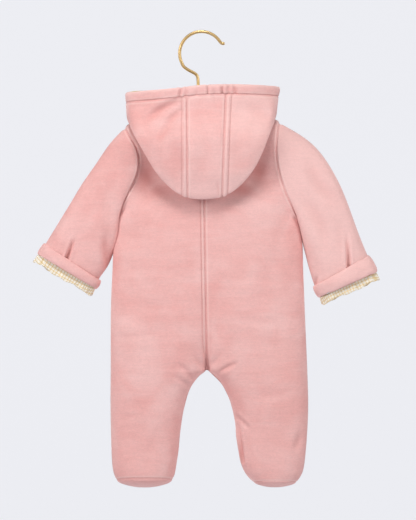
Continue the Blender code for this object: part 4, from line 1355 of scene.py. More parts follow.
@dataclass
class Row:
    """Rows of stitches or teeth of one size."""

    tree: bpy.types.NodeTree
    pitch: float
    length: float
    width: float
    height: float
    offset: float = 0.0

    def along(self, name: str, paths: list[np.ndarray], material: bpy.types.Material,
              slot: str) -> bpy.types.Object:
        """Lays the row along every path.

        Args:
            name: The finished object's name.
            paths: Lines in millimetres.
            material: What the row is made of.
            slot: The record's material slot.

        Returns:
            The finished object.
        """
        data = bpy.data.curves.new(name + "_paths", "CURVE")
        data.dimensions = "3D"
        for path in paths:
            spline = data.splines.new("POLY")
            spline.points.add(len(path) - 1)
            four = np.column_stack([path * MM, np.ones(len(path))])
            spline.points.foreach_set("co", four.astype(np.float32).ravel())
        holder = bpy.data.objects.new(name + "_paths", data)
        modifier = holder.modifiers.new("row", "NODES")
        modifier.node_group = self.tree
        values = {
            "Pitch": self.pitch * MM, "Length": self.length * MM, "Width": self.width * MM,
            "Height": self.height * MM, "Offset": self.offset * MM, "Material": material,
        }
        for item in self.tree.interface.items_tree:
            if item.in_out == "INPUT" and item.name in values:
                modifier[item.identifier] = values[item.name]
        mesh = evaluated(holder)
        mesh.name = name
        return placed(name, mesh, slot)


# ---- the garment ------------------------------------------------------------------------


@dataclass
class Garment:
    """What every sub-assembly of the suit shares."""

    finishes: Finishes
    pieces: dict[str, Piece] = field(default_factory=dict)
    joins: dict[str, list[Seam]] = field(default_factory=dict)
    made: dict[str, bpy.types.Object] = field(default_factory=dict)
    rows: list[np.ndarray] = field(default_factory=list)

    def add(self, piece: Piece, seams: list[Seam]) -> None:
        """Keeps a piece with its seams.

        Args:
            piece: The piece.
            seams: How it lies beside its neighbours.
        """
        self.pieces[piece.node] = piece
        self.joins[piece.node] = seams

    def dress(self, node: str, inside: bpy.types.Material | None = None) -> bpy.types.Object:
        """Finishes one velour piece.

        Args:
            node: Its CAD node.
            inside: Material of its inner skin, the check lining if none is given.

        Returns:
            The finished object.
        """
        lining = inside or self.finishes.check
        made = self.pieces[node].finish("velour_" + node, self.finishes.velour, lining, "velour")
        self.made[node] = made
        return made


@dataclass
class Body(Garment):
    """Back and front halves, from the shoulder to the foot, and the soles."""

    zip_band: float = 5.5
    back_band: float = 5.2
    band_foot: float = -462.0
    least_band: float = 2.0  # no stitches where the band is narrower
    wide_ruffle: tuple[float, float] = (0.5, 62.0)  # height and length
    fine_ruffle: tuple[float, float] = (0.22, 24.0)
    sole_rise: dict[str, float] = field(default_factory=lambda: {"left": 0.4, "right": 3.6})
    sole_curl: dict[str, float] = field(default_factory=lambda: {"left": 2.6, "right": 0.4})

    folds: dict[str, tuple[Fold, ...]] = field(default_factory=lambda: {
        "back_left": (
            Fold(Face.BACK, (-5.0, -352.0), (-7.6, -470.0), 7.0, 2.6, grow=0.8),
            Fold(Face.BACK, (14.0, -481.0), (34.0, -462.0), 7.0, 2.2, bow=1.5, grow=-0.5),
            Fold(Face.BACK, (20.0, -492.0), (40.0, -478.0), 6.0, 1.4, grow=-0.6),
            Fold(Face.BACK, (0.0, -466.0), (12.0, -448.0), 7.0, 1.6, grow=-0.7),
            Fold(Face.BACK, (118.0, -283.0), (62.0, -262.0), 26.0, 1.8, bow=5.0, grow=-0.5),
            Fold(Face.BACK, (104.0, -212.0), (70.0, -238.0), 18.0, 1.7, bow=-4.0, grow=-0.4),
            Fold(Face.BACK, (119.0, -425.0), (62.0, -419.0), 9.0, 0.8, bow=2.0),
            Fold(Face.BACK, (112.0, -331.0), (30.0, -338.0), 11.0, 0.7, bow=-3.0),
            Fold(Face.BACK, (104.0, -381.0), (22.0, -374.0), 12.0, 0.8, bow=4.0),
            Fold(Face.BACK, (116.0, -540.0), (88.0, -534.0), 8.0, 0.9),
            Fold(Face.BACK, (62.0, -560.0), (76.0, -604.0), 12.0, 1.0, bow=3.0),
        ),
        "back_right": (
            Fold(Face.BACK, (-9.0, -352.0), (-8.6, -470.0), 7.0, 2.6, grow=0.8),
            Fold(Face.BACK, (-27.0, -473.0), (-52.0, -461.0), 6.0, 2.6, bow=-1.0, grow=-0.6),
            Fold(Face.BACK, (-16.0, -462.0), (-30.0, -446.0), 7.0, 1.5, grow=-0.6),
            Fold(Face.BACK, (-50.0, -537.0), (-67.0, -552.5), 5.0, 2.4, grow=-0.3),
            Fold(Face.BACK, (-51.5, -536.0), (-59.5, -600.0), 3.4, 3.0, bow=0.6, grow=0.6),
            Fold(Face.BACK, (-112.0, -192.0), (-62.0, -236.0), 22.0, 1.9, bow=-6.0, grow=-0.4),
            Fold(Face.BACK, (-128.0, -287.0), (-66.0, -274.0), 24.0, 1.3, bow=4.0, grow=-0.5),
            Fold(Face.BACK, (-124.0, -349.0), (-40.0, -343.0), 12.0, 0.8, bow=3.0),
            Fold(Face.BACK, (-112.0, -403.0), (-44.0, -397.0), 11.0, 0.8, bow=-3.0),
            Fold(Face.BACK, (-138.0, -560.0), (-132.0, -582.0), 9.0, 1.8),
            Fold(Face.BACK, (-70.0, -506.0), (-128.0, -500.0), 12.0, 0.7, bow=3.0),
        ),
        "front_left": (
            Fold(Face.FRONT, (14.0, -481.0), (40.0, -462.0), 8.0, 2.2, bow=1.5, grow=-0.5),
            Fold(Face.FRONT, (-3.0, -455.0), (22.0, -430.0), 12.0, 1.4, bow=-2.0, grow=-0.5),
            Fold(Face.FRONT, (58.0, -574.0), (112.0, -580.0), 9.0, 2.0, bow=3.0),
            Fold(Face.FRONT, (64.0, -556.0), (104.0, -560.0), 10.0, 1.4, bow=-3.0),
            Fold(Face.FRONT, (108.0, -222.0), (66.0, -252.0), 20.0, 1.8, bow=-4.0, grow=-0.4),
            Fold(Face.FRONT, (112.0, -350.0), (26.0, -341.0), 14.0, 0.9, bow=4.0),
            Fold(Face.FRONT, (16.0, -300.0), (92.0, -312.0), 13.0, 0.8, bow=3.0),
        ),
        "front_right": (
            Fold(Face.FRONT, (-26.0, -476.0), (-56.0, -462.0), 8.0, 2.2, bow=-1.5, grow=-0.5),
            Fold(Face.FRONT, (-14.0, -455.0), (-40.0, -428.0), 12.0, 1.4, bow=2.0, grow=-0.5),
            Fold(Face.FRONT, (-64.0, -572.0), (-122.0, -580.0), 9.0, 2.0, bow=-3.0),
            Fold(Face.FRONT, (-70.0, -554.0), (-116.0, -558.0), 10.0, 1.4, bow=3.0),
            Fold(Face.FRONT, (-112.0, -215.0), (-70.0, -246.0), 20.0, 1.8, bow=4.0, grow=-0.4),
            Fold(Face.FRONT, (-118.0, -362.0), (-32.0, -352.0), 14.0, 0.9, bow=-4.0),
            Fold(Face.FRONT, (-22.0, -288.0), (-100.0, -300.0), 13.0, 0.8, bow=-3.0),
        ),
    })

    # painted shadow under the hood's flanks, and painted shade along the right leg's rolled inner seam
    shades: dict[str, tuple[Shade, ...]] = field(default_factory=lambda: {
        "back_left": (
            Shade((78.0, -202.0), (14.0, 22.0), 0.6),
            Shade((60.0, -221.0), (15.0, 9.0), 0.5),
        ),
        "back_right": (
            Shade((-80.0, -192.0), (16.0, 22.0), 0.6),
            Shade((-58.0, -219.0), (16.0, 9.0), 0.56),
            Shade((-55.5, -588.0), (3.0, 17.0), 0.4),
        ),
        "front_left": (),
        "front_right": (),
    })

    swells: dict[str, tuple[Swell, ...]] = field(default_factory=lambda: {
        "left": (
            Swell((118.0, -284.0), (17.0, 44.0), (3.5, 0.0)),
            Swell((72.0, -200.0), (24.0, 36.0), (0.0, -9.0), Face.BACK),
        ),
        "right": (
            Swell((-139.0, -280.0), (15.0, 36.0), (-2.5, 0.0)),
            Swell((-84.0, -188.0), (24.0, 36.0), (0.0, -9.0), Face.BACK),
        ),
    })

    def seams(self, face: str, side: str) -> list[Seam]:
        """Seams of one panel.

        Args:
            face: Back or front.
            side: The wearer's left or right.

        Returns:
            How it lies beside each neighbour.
        """
        other = "front" if face == "back" else "back"
        far_side = "right" if side == "left" else "left"
        listed = [
            Seam(f"{other}_{side}", dip=0.8, reach=3.0),
            Seam(f"sleeve_{side}", dip=0.9, reach=1.5, roll=0.45, roll_at=2.8, roll_wide=1.9),
            Seam(f"sole_{side}", dip=0.8, reach=2.4, within=6.0),
        ]
        if face == "back":
            band = self.back_band if side == "left" else 0.0
            centre = Seam(f"back_{far_side}", dip=1.0, reach=2.4, band=band, closes_at=self.band_foot)
            listed.append(centre)
        else:
            listed.append(Seam(f"front_{far_side}", dip=1.5, reach=4.0))
            listed.append(Seam(f"zip_tape_{side}", dip=0.5, reach=1.5, band=self.zip_band, within=6.0))
        return listed

    def build(self) -> None:
        """Grows the panels and soles from their solids."""
        for side in SIDES:
            for face in ("back", "front"):
                self.add(Piece(f"{face}_{side}"), self.seams(face, side))
            beside = [Seam(f"{face}_{side}", dip=0.0, within=6.0) for face in ("back", "front")]
            self.add(Piece(f"sole_{side}", levels=2), beside)

    def press(self) -> None:
        """Presses seams and folds, and lays the rows of top stitches."""
        for number, (face, side) in enumerate((f, s) for f in ("back", "front") for s in SIDES):
            node = f"{face}_{side}"
            piece = self.pieces[node]
            seams = self.joins[node]
            runs = piece.runs
            # paints the shadow under the hood's flanks and the shade along the rolled inner seam
            piece.paint_shade(self.shades[node])
            piece.push(self.swells[side])
            piece.sew(seams)
            piece.press(self.folds[node])
            piece.ruffle(*self.wide_ruffle, 31 + number)
            piece.ruffle(*self.fine_ruffle, 61 + number)
            for seam in seams:
                if not seam.band or seam.beside not in runs:
                    continue
                run = runs[seam.beside]
                widths = seam.band_at(piece.points[run][:, 2])
                kept = widths > self.least_band
                self.rows.append(piece.inset(run[kept], widths[kept]))

        for side in SIDES:
            sole = self.pieces[f"sole_{side}"]
            off = np.ptp(sole.points[:, 0]) / 2
            ends = ((sole.points[:, 0] - sole.points[:, 0].mean()) / off) ** 2
            sole.points[:, 2] += self.sole_rise[side] + self.sole_curl[side] * ends

    def finish(self, tapes: dict[str, bpy.types.Object]) -> None:
        """Args:
            tapes: Zip tape of each side, sewn on the fronts. Not used.
        """
        for side in SIDES:
            for face in ("back", "front"):
                made = self.dress(f"{face}_{side}")
            sole = self.dress(f"sole_{side}")


@dataclass
class Sleeves(Garment):
    """Sleeves, their turned-back cuffs and the check lining past the cuffs."""

    cuff_turn: dict[str, tuple[float, float]] = field(default_factory=lambda: {
        "left": (82.1, 49.5), "right": (-81.4, 36.4),
    })
    cuff_half: tuple[float, float] = (46.0, 17.0)  # half the breadth and depth of its mouth
    frill_waves: int = 23
    frill_height: float = 0.75
    frill_flare: float = 0.7  # how far the scallops stand out past the cuff
    frill_tuck: float = 3.0  # the lining starts this far inside the cuff
    sleeve_ruffle: tuple[float, float] = (0.55, 46.0)  # height and length
    cuff_ruffle: tuple[float, float] = (0.5, 34.0)
    fine_ruffle: tuple[float, float] = (0.22, 13.0)
    naps: dict[str, float] = field(default_factory=lambda: {"left": 0.0, "right": 0.26})
    # painted highlight that lightens the right sleeve and its cuff
    painted_highlights: dict[str, float] = field(default_factory=lambda: {"left": 0.0, "right": 0.16})
    swells: dict[str, Swell] = field(default_factory=lambda: {
        "left": Swell((124.0, -290.0), (26.0, 42.0), (-5.0, 0.0)),
        "right": Swell((-143.0, -283.0), (20.0, 36.0), (3.0, 0.0)),
    })

    folds: dict[str, tuple[Fold, ...]] = field(default_factory=lambda: {
        "sleeve_left": (
            Fold(Face.BACK, (177.0, -286.0), (190.0, -321.0), 4.8, 7.5, grow=0.8, lip=0.4),
            Fold(Face.BACK, (132.0, -278.0), (128.0, -332.0), 12.0, 4.0, bow=2.0, grow=0.4),
            Fold(Face.BACK, (150.0, -206.0), (170.0, -268.0), 24.0, 1.8, bow=-5.0),
            Fold(Face.BACK, (126.0, -196.0), (128.0, -262.0), 20.0, 2.0, bow=4.0),
            Fold(Face.BACK, (196.0, -262.0), (214.0, -296.0), 14.0, 1.4, bow=2.0),
            Fold(Face.FRONT, (170.0, -262.0), (184.0, -314.0), 8.0, 3.4, grow=0.6),
            Fold(Face.FRONT, (138.0, -232.0), (140.0, -300.0), 16.0, 2.2, bow=3.0),
            Fold(Face.FRONT, (196.0, -262.0), (206.0, -310.0), 13.0, 1.6),
        ),
        "sleeve_right": (
            Fold(Face.BACK, (-203.5, -284.0), (-206.0, -333.0), 4.8, 6.4, grow=0.8, lip=0.4),
            Fold(Face.BACK, (-160.5, -340.0), (-158.5, -354.0), 6.0, 3.0, grow=0.5),
            Fold(Face.BACK, (-150.0, -186.0), (-188.0, -236.0), 20.0, 2.4, bow=5.0),
            Fold(Face.BACK, (-142.0, -230.0), (-176.0, -300.0), 18.0, 2.2, bow=-5.0),
            Fold(Face.BACK, (-186.0, -262.0), (-196.0, -310.0), 18.0, 1.3, bow=-3.0),
            Fold(Face.BACK, (-216.0, -276.0), (-228.0, -318.0), 14.0, 1.2, bow=-2.0),
            Fold(Face.FRONT, (-188.0, -268.0), (-200.0, -330.0), 9.0, 3.2, grow=0.6),
            Fold(Face.FRONT, (-150.0, -236.0), (-160.0, -306.0), 18.0, 2.2, bow=-3.0),
            Fold(Face.FRONT, (-212.0, -276.0), (-226.0, -326.0), 13.0, 1.6),
        ),
    })

    def build(self) -> None:
        """Grows sleeves, cuffs and linings."""
        for side in SIDES:
            beside = [Seam(f"{face}_{side}", dip=1.1, reach=4.0) for face in ("back", "front")]
            self.add(Piece(f"sleeve_{side}"), beside)
            self.add(Piece(f"cuff_{side}", crisp=False), [])
            self.add(Piece(f"cuff_lining_{side}", levels=2, crisp=False), [])

    def press(self) -> None:
        """Presses the armhole seams and folds, and gathers the lining."""
        for number, side in enumerate(SIDES):
            sleeve = self.pieces[f"sleeve_{side}"]
            sleeve.nap = self.naps[side]
            # painted highlight over the whole sleeve, and below over the whole cuff
            sleeve.pale += self.painted_highlights[side]
            sleeve.push((self.swells[side],))
            sleeve.sew(self.joins[sleeve.node])
            sleeve.press(self.folds[sleeve.node])
            sleeve.ruffle(*self.sleeve_ruffle, 71 + number)
            cuff = self.pieces[f"cuff_{side}"]
            cuff.nap = self.naps[side]
            cuff.pale += self.painted_highlights[side]
            cuff.ruffle(*self.cuff_ruffle, 81 + number)
            cuff.ruffle(*self.fine_ruffle, 83 + number)
            self.gather(self.pieces[f"cuff_lining_{side}"], side)

    def gather(self, lining: Piece, side: str) -> None:
        """Scallops the free edge of the lining, more towards the edge.

        Args:
            lining: The lining strip past the cuff.
            side: The wearer's left or right.
        """
        across = unit(np.array((self.cuff_turn[side][0], 0.0, self.cuff_turn[side][1])))
        out = np.cross((0.0, SIGN[side], 0.0), across)
        centre = lining.points.mean(0)
        place = lining.points - centre
        reach = place @ out
        share = (reach - reach.min()) / (reach.max() - reach.min())
        breadth, depth = self.cuff_half
        angle = np.arctan2(place[:, 1] / depth, place @ across / breadth)
        crimp = np.sin(self.frill_waves * angle + 1.3 * np.sin(3 * angle))
        flare = self.frill_flare * np.sin(self.frill_waves * angle * 0.5 + 0.4)
        spoke = unit(place - reach[:, None] * out)
        lining.points = lining.points + spoke * (self.frill_height * crimp * share**1.5)[:, None]
        lining.points -= out * (self.frill_tuck * (1 - share) ** 2)[:, None]
        lining.points += out * (flare * share**2)[:, None]
        lining.map_turn = -math.atan2(across[2], across[0])

    def finish(self) -> None:
        for side in SIDES:
            sleeve = self.dress(f"sleeve_{side}")
            cuff = self.dress(f"cuff_{side}", self.finishes.velour)
            lining = self.pieces[f"cuff_lining_{side}"]
            check = self.finishes.check
            made = lining.finish(f"check_cuff_lining_{side}", check, check, "check")


@dataclass
class Hood(Garment):
    """Three hood panels and the elastic casing along the face edge."""

    band: float = 7.6
    casing_stitch: float = 1.8
    lift_heights: tuple[float, ...] = (-242.0, -222.0, -195.0, -155.0, -104.0)
    lifts: tuple[float, ...] = (5.0, 7.5, 10.5, 12.0, 0.0)  # how far the bag stands off there
    naps: dict[str, float] = field(default_factory=lambda: {
        "hood_side_left": -0.02, "hood_centre": 0.06, "hood_side_right": 0.1, "hood_casing": 0.04,
    })
    # painted highlight over the hood's right side panel
    painted_highlights: dict[str, float] = field(default_factory=lambda: {"hood_side_right": 0.14})
    # painted highlight along the hood's free hems, and how far in it fades
    hem_highlight: float = 0.55
    hem_fade: float = 3.6
    low_from: float = -185.0  # height where a painted highlight starts, lifting the nap colour towards the hem
    low_fade: float = 45.0
    # how far the painted highlight lifts the nap colour at the hood's lower end
    low_highlight: float = 0.34
    panel_ruffle: tuple[float, float] = (0.5, 48.0)  # height and length
    casing_ruffle: tuple[float, float] = (0.3, 16.0)

    folds: dict[str, tuple[Fold, ...]] = field(default_factory=lambda: {
        "hood_side_left": (
            Fold(Face.BACK, (30.0, -97.0), (78.0, -126.0), 9.5, 5.6, bow=3.0, grow=-0.4),
            Fold(Face.BACK, (30.0, -110.0), (60.0, -154.0), 8.5, 4.8, bow=2.0, grow=-0.5),
            Fold(Face.BACK, (40.0, -150.0), (36.0, -210.0), 16.0, 2.2, bow=-4.0),
            Fold(Face.BACK, (74.0, -100.0), (100.0, -104.0), 10.0, 0.8),
        ),
        "hood_side_right": (
            Fold(Face.BACK, (-58.0, -104.0), (-96.0, -128.0), 16.0, 1.4, bow=-3.0),
            Fold(Face.BACK, (-48.0, -150.0), (-60.0, -196.0), 18.0, 1.2, bow=4.0),
        ),
        "hood_centre": (
            Fold(Face.BACK, (14.0, -104.0), (-16.0, -170.0), 20.0, 1.1, bow=4.0),
            Fold(Face.BACK, (-6.0, -150.0), (6.0, -216.0), 20.0, 1.0, bow=-4.0),
            Fold(Face.BACK, (16.5, -136.0), (13.5, -164.0), 3.6, 1.8, grow=0.4),
            Fold(Face.BACK, (-30.5, -136.0), (-29.0, -160.0), 3.6, 1.6, grow=0.4),
            Fold(Face.BACK, (-22.5, -212.0), (-25.5, -229.0), 3.6, 1.6),
            Fold(Face.BACK, (-18.0, -93.0), (-21.0, -101.0), 5.0, 1.6, grow=-0.6),
            Fold(Face.BACK, (-1.0, -93.0), (-3.0, -103.0), 6.0, 1.1, grow=-0.6),
        ),
        "hood_casing": (
            Fold(Face.BACK, (27.0, -76.0), (31.5, -97.0), 4.5, 2.8),
            Fold(Face.BACK, (19.5, -76.0), (22.5, -95.0), 4.5, 2.2, grow=0.4),
            Fold(Face.BACK, (-8.8, -74.0), (-9.2, -90.0), 3.4, 3.0),
            Fold(Face.BACK, (-28.4, -76.0), (-28.8, -92.0), 3.4, 3.4),
            Fold(Face.BACK, (-46.0, -76.0), (-47.4, -93.0), 4.5, 2.2),
            Fold(Face.BACK, (-38.0, -74.0), (-38.6, -90.0), 4.0, 1.6),
            Fold(Face.BACK, (8.0, -82.0), (6.5, -94.0), 5.0, 1.6, grow=0.6),
            Fold(Face.BACK, (-18.0, -82.0), (-18.6, -94.0), 5.0, 1.6, grow=0.6),
        ),
    })

    swells: dict[str, tuple[Swell, ...]] = field(default_factory=lambda: {
        "hood_casing": (
            Swell((94.0, -86.0), (16.0, 16.0), (-2.6, 0.0)),
            Swell((-92.0, -82.0), (16.0, 16.0), (2.6, 0.0)),
            Swell((0.0, -82.0), (110.0, 24.0), (0.0, -0.8), Face.BACK),
        ),
        "hood_side_left": (Swell((92.0, -104.0), (18.0, 18.0), (1.6, 0.0)),),
        "hood_side_right": (Swell((-92.0, -100.0), (18.0, 18.0), (-1.6, 0.0)),),
        "hood_centre": (),
    })

    def build(self) -> None:
        """Grows the panels and the casing."""
        hem = Seam("hood_casing", dip=0.3, reach=2.2, within=4.0)
        for side in SIDES:
            centre = Seam("hood_centre", dip=1.2, reach=2.2, band=self.band)
            self.add(Piece(f"hood_side_{side}"), [centre, hem])
        beside = [Seam(f"hood_side_{side}", dip=1.2, reach=2.2) for side in SIDES]
        self.add(Piece("hood_centre"), [*beside, hem])
        panels = ("hood_side_left", "hood_centre", "hood_side_right")
        joins = [Seam(node, dip=0.35, reach=2.2, within=4.0) for node in panels]
        self.add(Piece("hood_casing", turned=True), joins)

    def standing_off(self, heights: np.ndarray) -> np.ndarray:
        """How far the bag of the hood stands off the back.

        Args:
            heights: Z in millimetres.

        Returns:
            Millimetres along Y.
        """
        place = np.interp(heights, self.lift_heights, np.arange(len(self.lifts)))
        below = np.clip(place.astype(int), 0, len(self.lifts) - 2)
        share = place - below
        table = np.array(self.lifts)
        return table[below] + (table[below + 1] - table[below]) * share * share * (3 - 2 * share)

    def press(self) -> None:
        """Presses seams, folds and gathers, and lays the rows of stitches."""
        for number, (node, piece) in enumerate(self.pieces.items()):
            # painted highlight: the nap colour lifted towards the hood's lower end
            low = np.clip((self.low_from - piece.points[:, 2]) / self.low_fade, 0, 1)
            piece.nap = self.naps[node] + self.low_highlight * low
            # painted highlight over the whole panel
            piece.pale += self.painted_highlights.get(node, 0.0)
            # painted highlight along the free hems
            piece.paint_hem_highlight(self.hem_highlight, self.hem_fade)
            piece.points[:, 1] += self.standing_off(piece.points[:, 2])
            piece.push(self.swells[node])
            piece.sew(self.joins[node])
            piece.press(self.folds[node])
            if node == "hood_casing":
                piece.ruffle(*self.casing_ruffle, 97)
                for run in piece.runs.values():
                    self.rows.append(piece.inset(run, np.full(len(run), self.casing_stitch)))
                continue
            piece.ruffle(*self.panel_ruffle, 91 + number)
            if "hood_centre" in piece.runs:
                run = piece.runs["hood_centre"]
                self.rows.append(piece.inset(run, np.full(len(run), self.band)))

    def finish(self) -> None:
        for node, piece in self.pieces.items():
            made = self.dress(node)


@dataclass
class Zip(Garment):
    """Zip tapes, coil, slider and the pull that turns on it."""

    coil_pitch: float = 1.25
    tooth: tuple[float, float, float] = (2.5, 1.5, 0.8)
    tooth_offset: float = 0.75
    slider_bevel: float = 0.25
    pull_bevel: float = 0.3
    end_margin: float = 1.0  # of tape past the coil at either end
    line_step: float = 4.0
    beside_coil: float = 2.0  # the tape's face is felt this far from the middle
    before: float = -200.0  # Y well in front of the suit
    tapes: dict[str, bpy.types.Object] = field(default_factory=dict)

    def build(self) -> None:
        """Grows the tapes."""
        for side in SIDES:
            self.add(Piece(f"zip_tape_{side}", levels=1), [])

    def finish(self) -> None:
        """Makes the tapes, the coil and the metal pieces."""
        for side in SIDES:
            piece = self.pieces[f"zip_tape_{side}"]
            tape = self.finishes.tape
            self.tapes[side] = piece.finish(f"woven_tape_{side}", tape, tape, "tape")
        tree = RowTree("zip coil", block=True).build()
        width, height, length = self.tooth
        coil = Row(tree, self.coil_pitch, length, width, height, self.tooth_offset)
        coil.along("zip_coil", [self.middle_line()], self.finishes.teeth, "tape")
        brass = self.finishes.brass
        metal_piece("zip_slider", "brass_slider", brass, self.slider_bevel)
        metal_piece("zip_pull", "brass_pull", brass, self.pull_bevel, body="pull")

    def middle_line(self) -> np.ndarray:
        """Line between the two tapes, on their face.

        Returns:
            Places in millimetres, from the top down.
        """
        tapes = [self.pieces[f"zip_tape_{side}"] for side in SIDES]
        trees = [BVHTree.FromPolygons(tape.points.tolist(), tape.quads.tolist()) for tape in tapes]
        top = min(tape.points[:, 2].max() for tape in tapes) - self.end_margin
        foot = max(tape.points[:, 2].min() for tape in tapes) + self.end_margin
        back = Vector((0.0, 1.0, 0.0))
        line = []
        for height in np.arange(top, foot, -self.line_step):
            middle = CENTRE_TOP - CENTRE_LEAN * (CENTRE_HEIGHT - height)
            hits = [
                tree.ray_cast(Vector((middle + sign * self.beside_coil, self.before, height)), back)
                for tree, sign in zip(trees, SIGN.values())
            ]
            depths = [hit[0].y for hit in hits if hit[0] is not None]
            if depths:
                line.append((middle, min(depths), height))
        return np.array(line)


def metal_piece(node: str, name: str, material: bpy.types.Material, bevel: float,
                body: str = "suit") -> bpy.types.Object:
    """Finished copy of a small metal node, its edges rounded over.

    Args:
        node: The CAD node.
        name: The object's name.
        material: Its finish.
        bevel: Rounding of the edges in millimetres.
        body: The CAD body that it rides on.

    Returns:
        The object.
    """
    bm = cage(node)
    mesh = bpy.data.meshes.new(name)
    bm.to_mesh(mesh)
    bm.free()
    mesh.materials.append(material)
    mesh.shade_smooth()
    holder = bpy.data.objects.new(name + "_plain", mesh)
    rounded = holder.modifiers.new("rounded", "BEVEL")
    rounded.width = bevel * MM
    rounded.segments = 2
    rounded.limit_method = "ANGLE"
    rounded.angle_limit = math.radians(40)
    rounded.harden_normals = True
    made = evaluated(holder)
    made.name = name
    return placed(name, made, "brass", node, body=body)


@dataclass
class Hanger:
    """Bent wire hook and the arms inside the shoulders."""

    finishes: Finishes
    regain: float = 0.21  # millimetres that subdivision takes off the wire's radius

    def build(self) -> None:
        """Makes both wires round and smooth."""
        for node in ("hanger_hook", "hanger_arms"):
            mesh = grown(node, 2, crisp=False)
            mesh.materials.clear()
            mesh.materials.append(self.finishes.brass)
            count = len(mesh.vertices)
            places, normals = np.empty(count * 3), np.empty(count * 3)
            mesh.vertices.foreach_get("co", places)
            mesh.vertex_normals.foreach_get("vector", normals)
            mesh.vertices.foreach_set("co", places + normals * self.regain * MM)
            mesh.polygons.foreach_set("material_index", np.zeros(len(mesh.polygons), np.int32))
            mesh.shade_smooth()
            placed("brass_" + node, mesh, "brass", node)


def close_seams(pieces: dict[str, Piece]) -> None:
    """Brings both skins of each seam together in the middle of its open space.

    Args:
        pieces: Every piece of the suit, by node.
    """
    for node, piece in pieces.items():
        for beside in piece.runs:
            other = pieces[beside]
            if node > beside or node not in other.runs:
                continue
            mine, theirs = piece.halfway(other), other.halfway(piece)
            piece.points[piece.runs[beside]] = mine
            other.points[other.runs[node]] = theirs


# ---- studio --------------------------------------------------------------------------------


@dataclass(frozen=True)
class Lamp:
    """A square soft light aimed at the garment."""

    name: str
    place: tuple[float, float, float]
    size: float  # length of its side
    power: float  # watts
    colour: tuple[float, float, float] = (1.0, 0.99, 0.98)

    def build(self, aim: Vector) -> None:
        """Hangs the lamp.

        Args:
            aim: Where it points.
        """
        data = bpy.data.lights.new(self.name, "AREA")
        data.shape = "SQUARE"
        data.size = self.size
        data.energy = self.power
        data.color = self.colour
        lamp = bpy.data.objects.new(self.name, data)
        lamp.location = self.place
        lamp.rotation_euler = (aim - Vector(self.place)).to_track_quat("-Z", "Y").to_euler()
        bpy.context.scene.collection.objects.link(lamp)


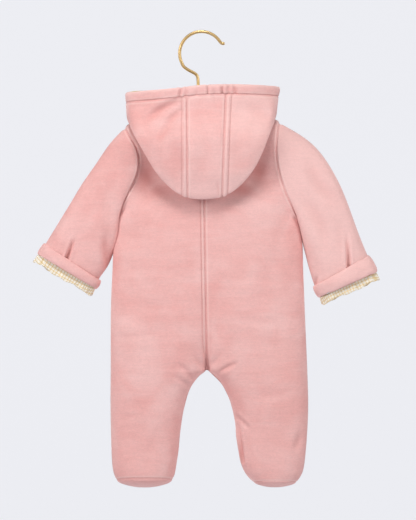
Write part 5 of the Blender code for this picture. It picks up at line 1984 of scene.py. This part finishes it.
@dataclass(frozen=True)
class Studio:
    """Evenly lit pale wall and floor, soft lights and the camera behind the garment."""

    pale: tuple[float, float, float, float] = (0.863, 0.871, 0.913, 1.0)
    glow: float = 0.80  # share of the paper's brightness that doesn't depend on the lamps
    wall_y: float = -1.6
    wall_top: float = 3.5
    floor_z: float = -1.35
    floor_end: float = 7.0
    half_width: float = 6.0
    bend: float = 0.6
    bend_steps: int = 8
    aim: tuple[float, float, float] = (-0.0091, 0.0, -0.3178)
    distance: float = 5.0
    tall: float = 0.728  # metres that the view covers from top to bottom
    room: float = 0.06  # share of the room's brightness that lights the garment
    lamps: tuple[Lamp, ...] = (
        Lamp("left_lamp", (2.0, 1.6, 0.6), 0.9, 33.0),
        Lamp("right_lamp", (-2.0, 1.5, 0.6), 0.9, 23.0),
        Lamp("top_lamp", (0.1, 1.7, 2.0), 0.8, 45.0),
        Lamp("front_fill", (0.6, -2.4, 0.9), 2.0, 20.0, (1.0, 1.0, 1.0)),
    )

    def sheet(self) -> None:
        """A wall that bends into the floor, clear from behind."""
        bench = NodeBench("pale_paper")
        dimmed = [part * (1 - self.glow) for part in self.pale[:3]]
        bench.shader.inputs["Base Color"].default_value = (*dimmed, 1.0)
        bench.shader.inputs["Emission Color"].default_value = self.pale
        bench.shader.inputs["Emission Strength"].default_value = self.glow
        bench.shader.inputs["Roughness"].default_value = 0.95
        bench.shader.inputs["Specular IOR Level"].default_value = 0.1
        clear = bench.add("ShaderNodeBsdfTransparent")
        seen = bench.add("ShaderNodeMixShader")
        bench.feed(seen.inputs[0], bench.add("ShaderNodeNewGeometry").outputs["Backfacing"])
        bench.feed(seen.inputs[1], bench.shader.outputs[0])
        bench.feed(seen.inputs[2], clear.outputs[0])
        bench.feed(bench.nodes["Material Output"].inputs["Surface"], seen.outputs[0])
        profile = [(self.wall_y, self.wall_top), (self.wall_y, self.floor_z + self.bend)]
        for turn in np.linspace(0, math.pi / 2, self.bend_steps + 1)[1:]:
            profile.append((
                self.wall_y + self.bend * (1 - math.cos(turn)),
                self.floor_z + self.bend * (1 - math.sin(turn)),
            ))
        profile.append((self.floor_end, self.floor_z))
        mesh = bpy.data.meshes.new("pale_sheet")
        vertices = [(x, y, z) for y, z in profile for x in (-self.half_width, self.half_width)]
        faces = [(2 * i, 2 * i + 1, 2 * i + 3, 2 * i + 2) for i in range(len(profile) - 1)]
        mesh.from_pydata(vertices, [], faces)
        mesh.materials.append(bench.material)
        mesh.shade_smooth()
        sheet = bpy.data.objects.new("pale_sheet", mesh)
        bpy.context.scene.collection.objects.link(sheet)

    def build(self) -> None:
        """Makes the stage, lights, world and camera."""
        self.sheet()
        for lamp in self.lamps:
            lamp.build(Vector(self.aim))
        world = bpy.data.worlds.new("soft_room")
        world.use_nodes = True
        nodes, links = world.node_tree.nodes, world.node_tree.links
        nodes["Background"].inputs["Color"].default_value = self.pale
        seen = nodes.new("ShaderNodeMapRange")
        seen.inputs["To Min"].default_value = self.room
        links.new(nodes.new("ShaderNodeLightPath").outputs["Is Camera Ray"], seen.inputs["Value"])
        links.new(seen.outputs["Result"], nodes["Background"].inputs["Strength"])
        bpy.context.scene.world = world
        bpy.context.scene.view_settings.view_transform = "Standard"
        data = bpy.data.cameras.new("camera")
        data.sensor_width = 36.0
        data.lens = data.sensor_width * self.distance / self.tall
        camera = bpy.data.objects.new("camera", data)
        camera.location = Vector(self.aim) + Vector((0.0, self.distance, 0.0))
        camera.rotation_euler = (math.pi / 2, 0.0, math.pi)
        data.clip_end = 50.0
        bpy.context.scene.collection.objects.link(camera)
        bpy.context.scene.camera = camera


def main() -> None:
    """Builds the suit piece by piece, then the studio."""
    logging.basicConfig(level=logging.INFO, format="%(message)s")
    finishes = Finishes()
    tree = RowTree("stitch row").build()
    stitches = Row(tree, pitch=2.7, length=2.0, width=0.55, height=0.55)
    body, sleeves = Body(finishes), Sleeves(finishes)
    hood, closure = Hood(finishes), Zip(finishes)
    assemblies = (body, sleeves, hood, closure)
    for assembly in assemblies:
        assembly.build()
    pieces = {node: piece for assembly in assemblies for node, piece in assembly.pieces.items()}
    joins = {node: seams for assembly in assemblies for node, seams in assembly.joins.items()}
    for node, seams in joins.items():
        pieces[node].find_runs([(seam, pieces[seam.beside]) for seam in seams])
    for assembly in (body, sleeves, hood):
        assembly.press()
    close_seams(pieces)
    closure.finish()
    body.finish(closure.tapes)
    sleeves.finish()
    hood.finish()
    stitches.along("top_stitches_body", body.rows, finishes.thread, "velour")
    stitches.along("top_stitches_hood", hood.rows, finishes.thread, "velour")
    Hanger(finishes).build()
    Studio().build()


if __name__ == "__main__":
    main()
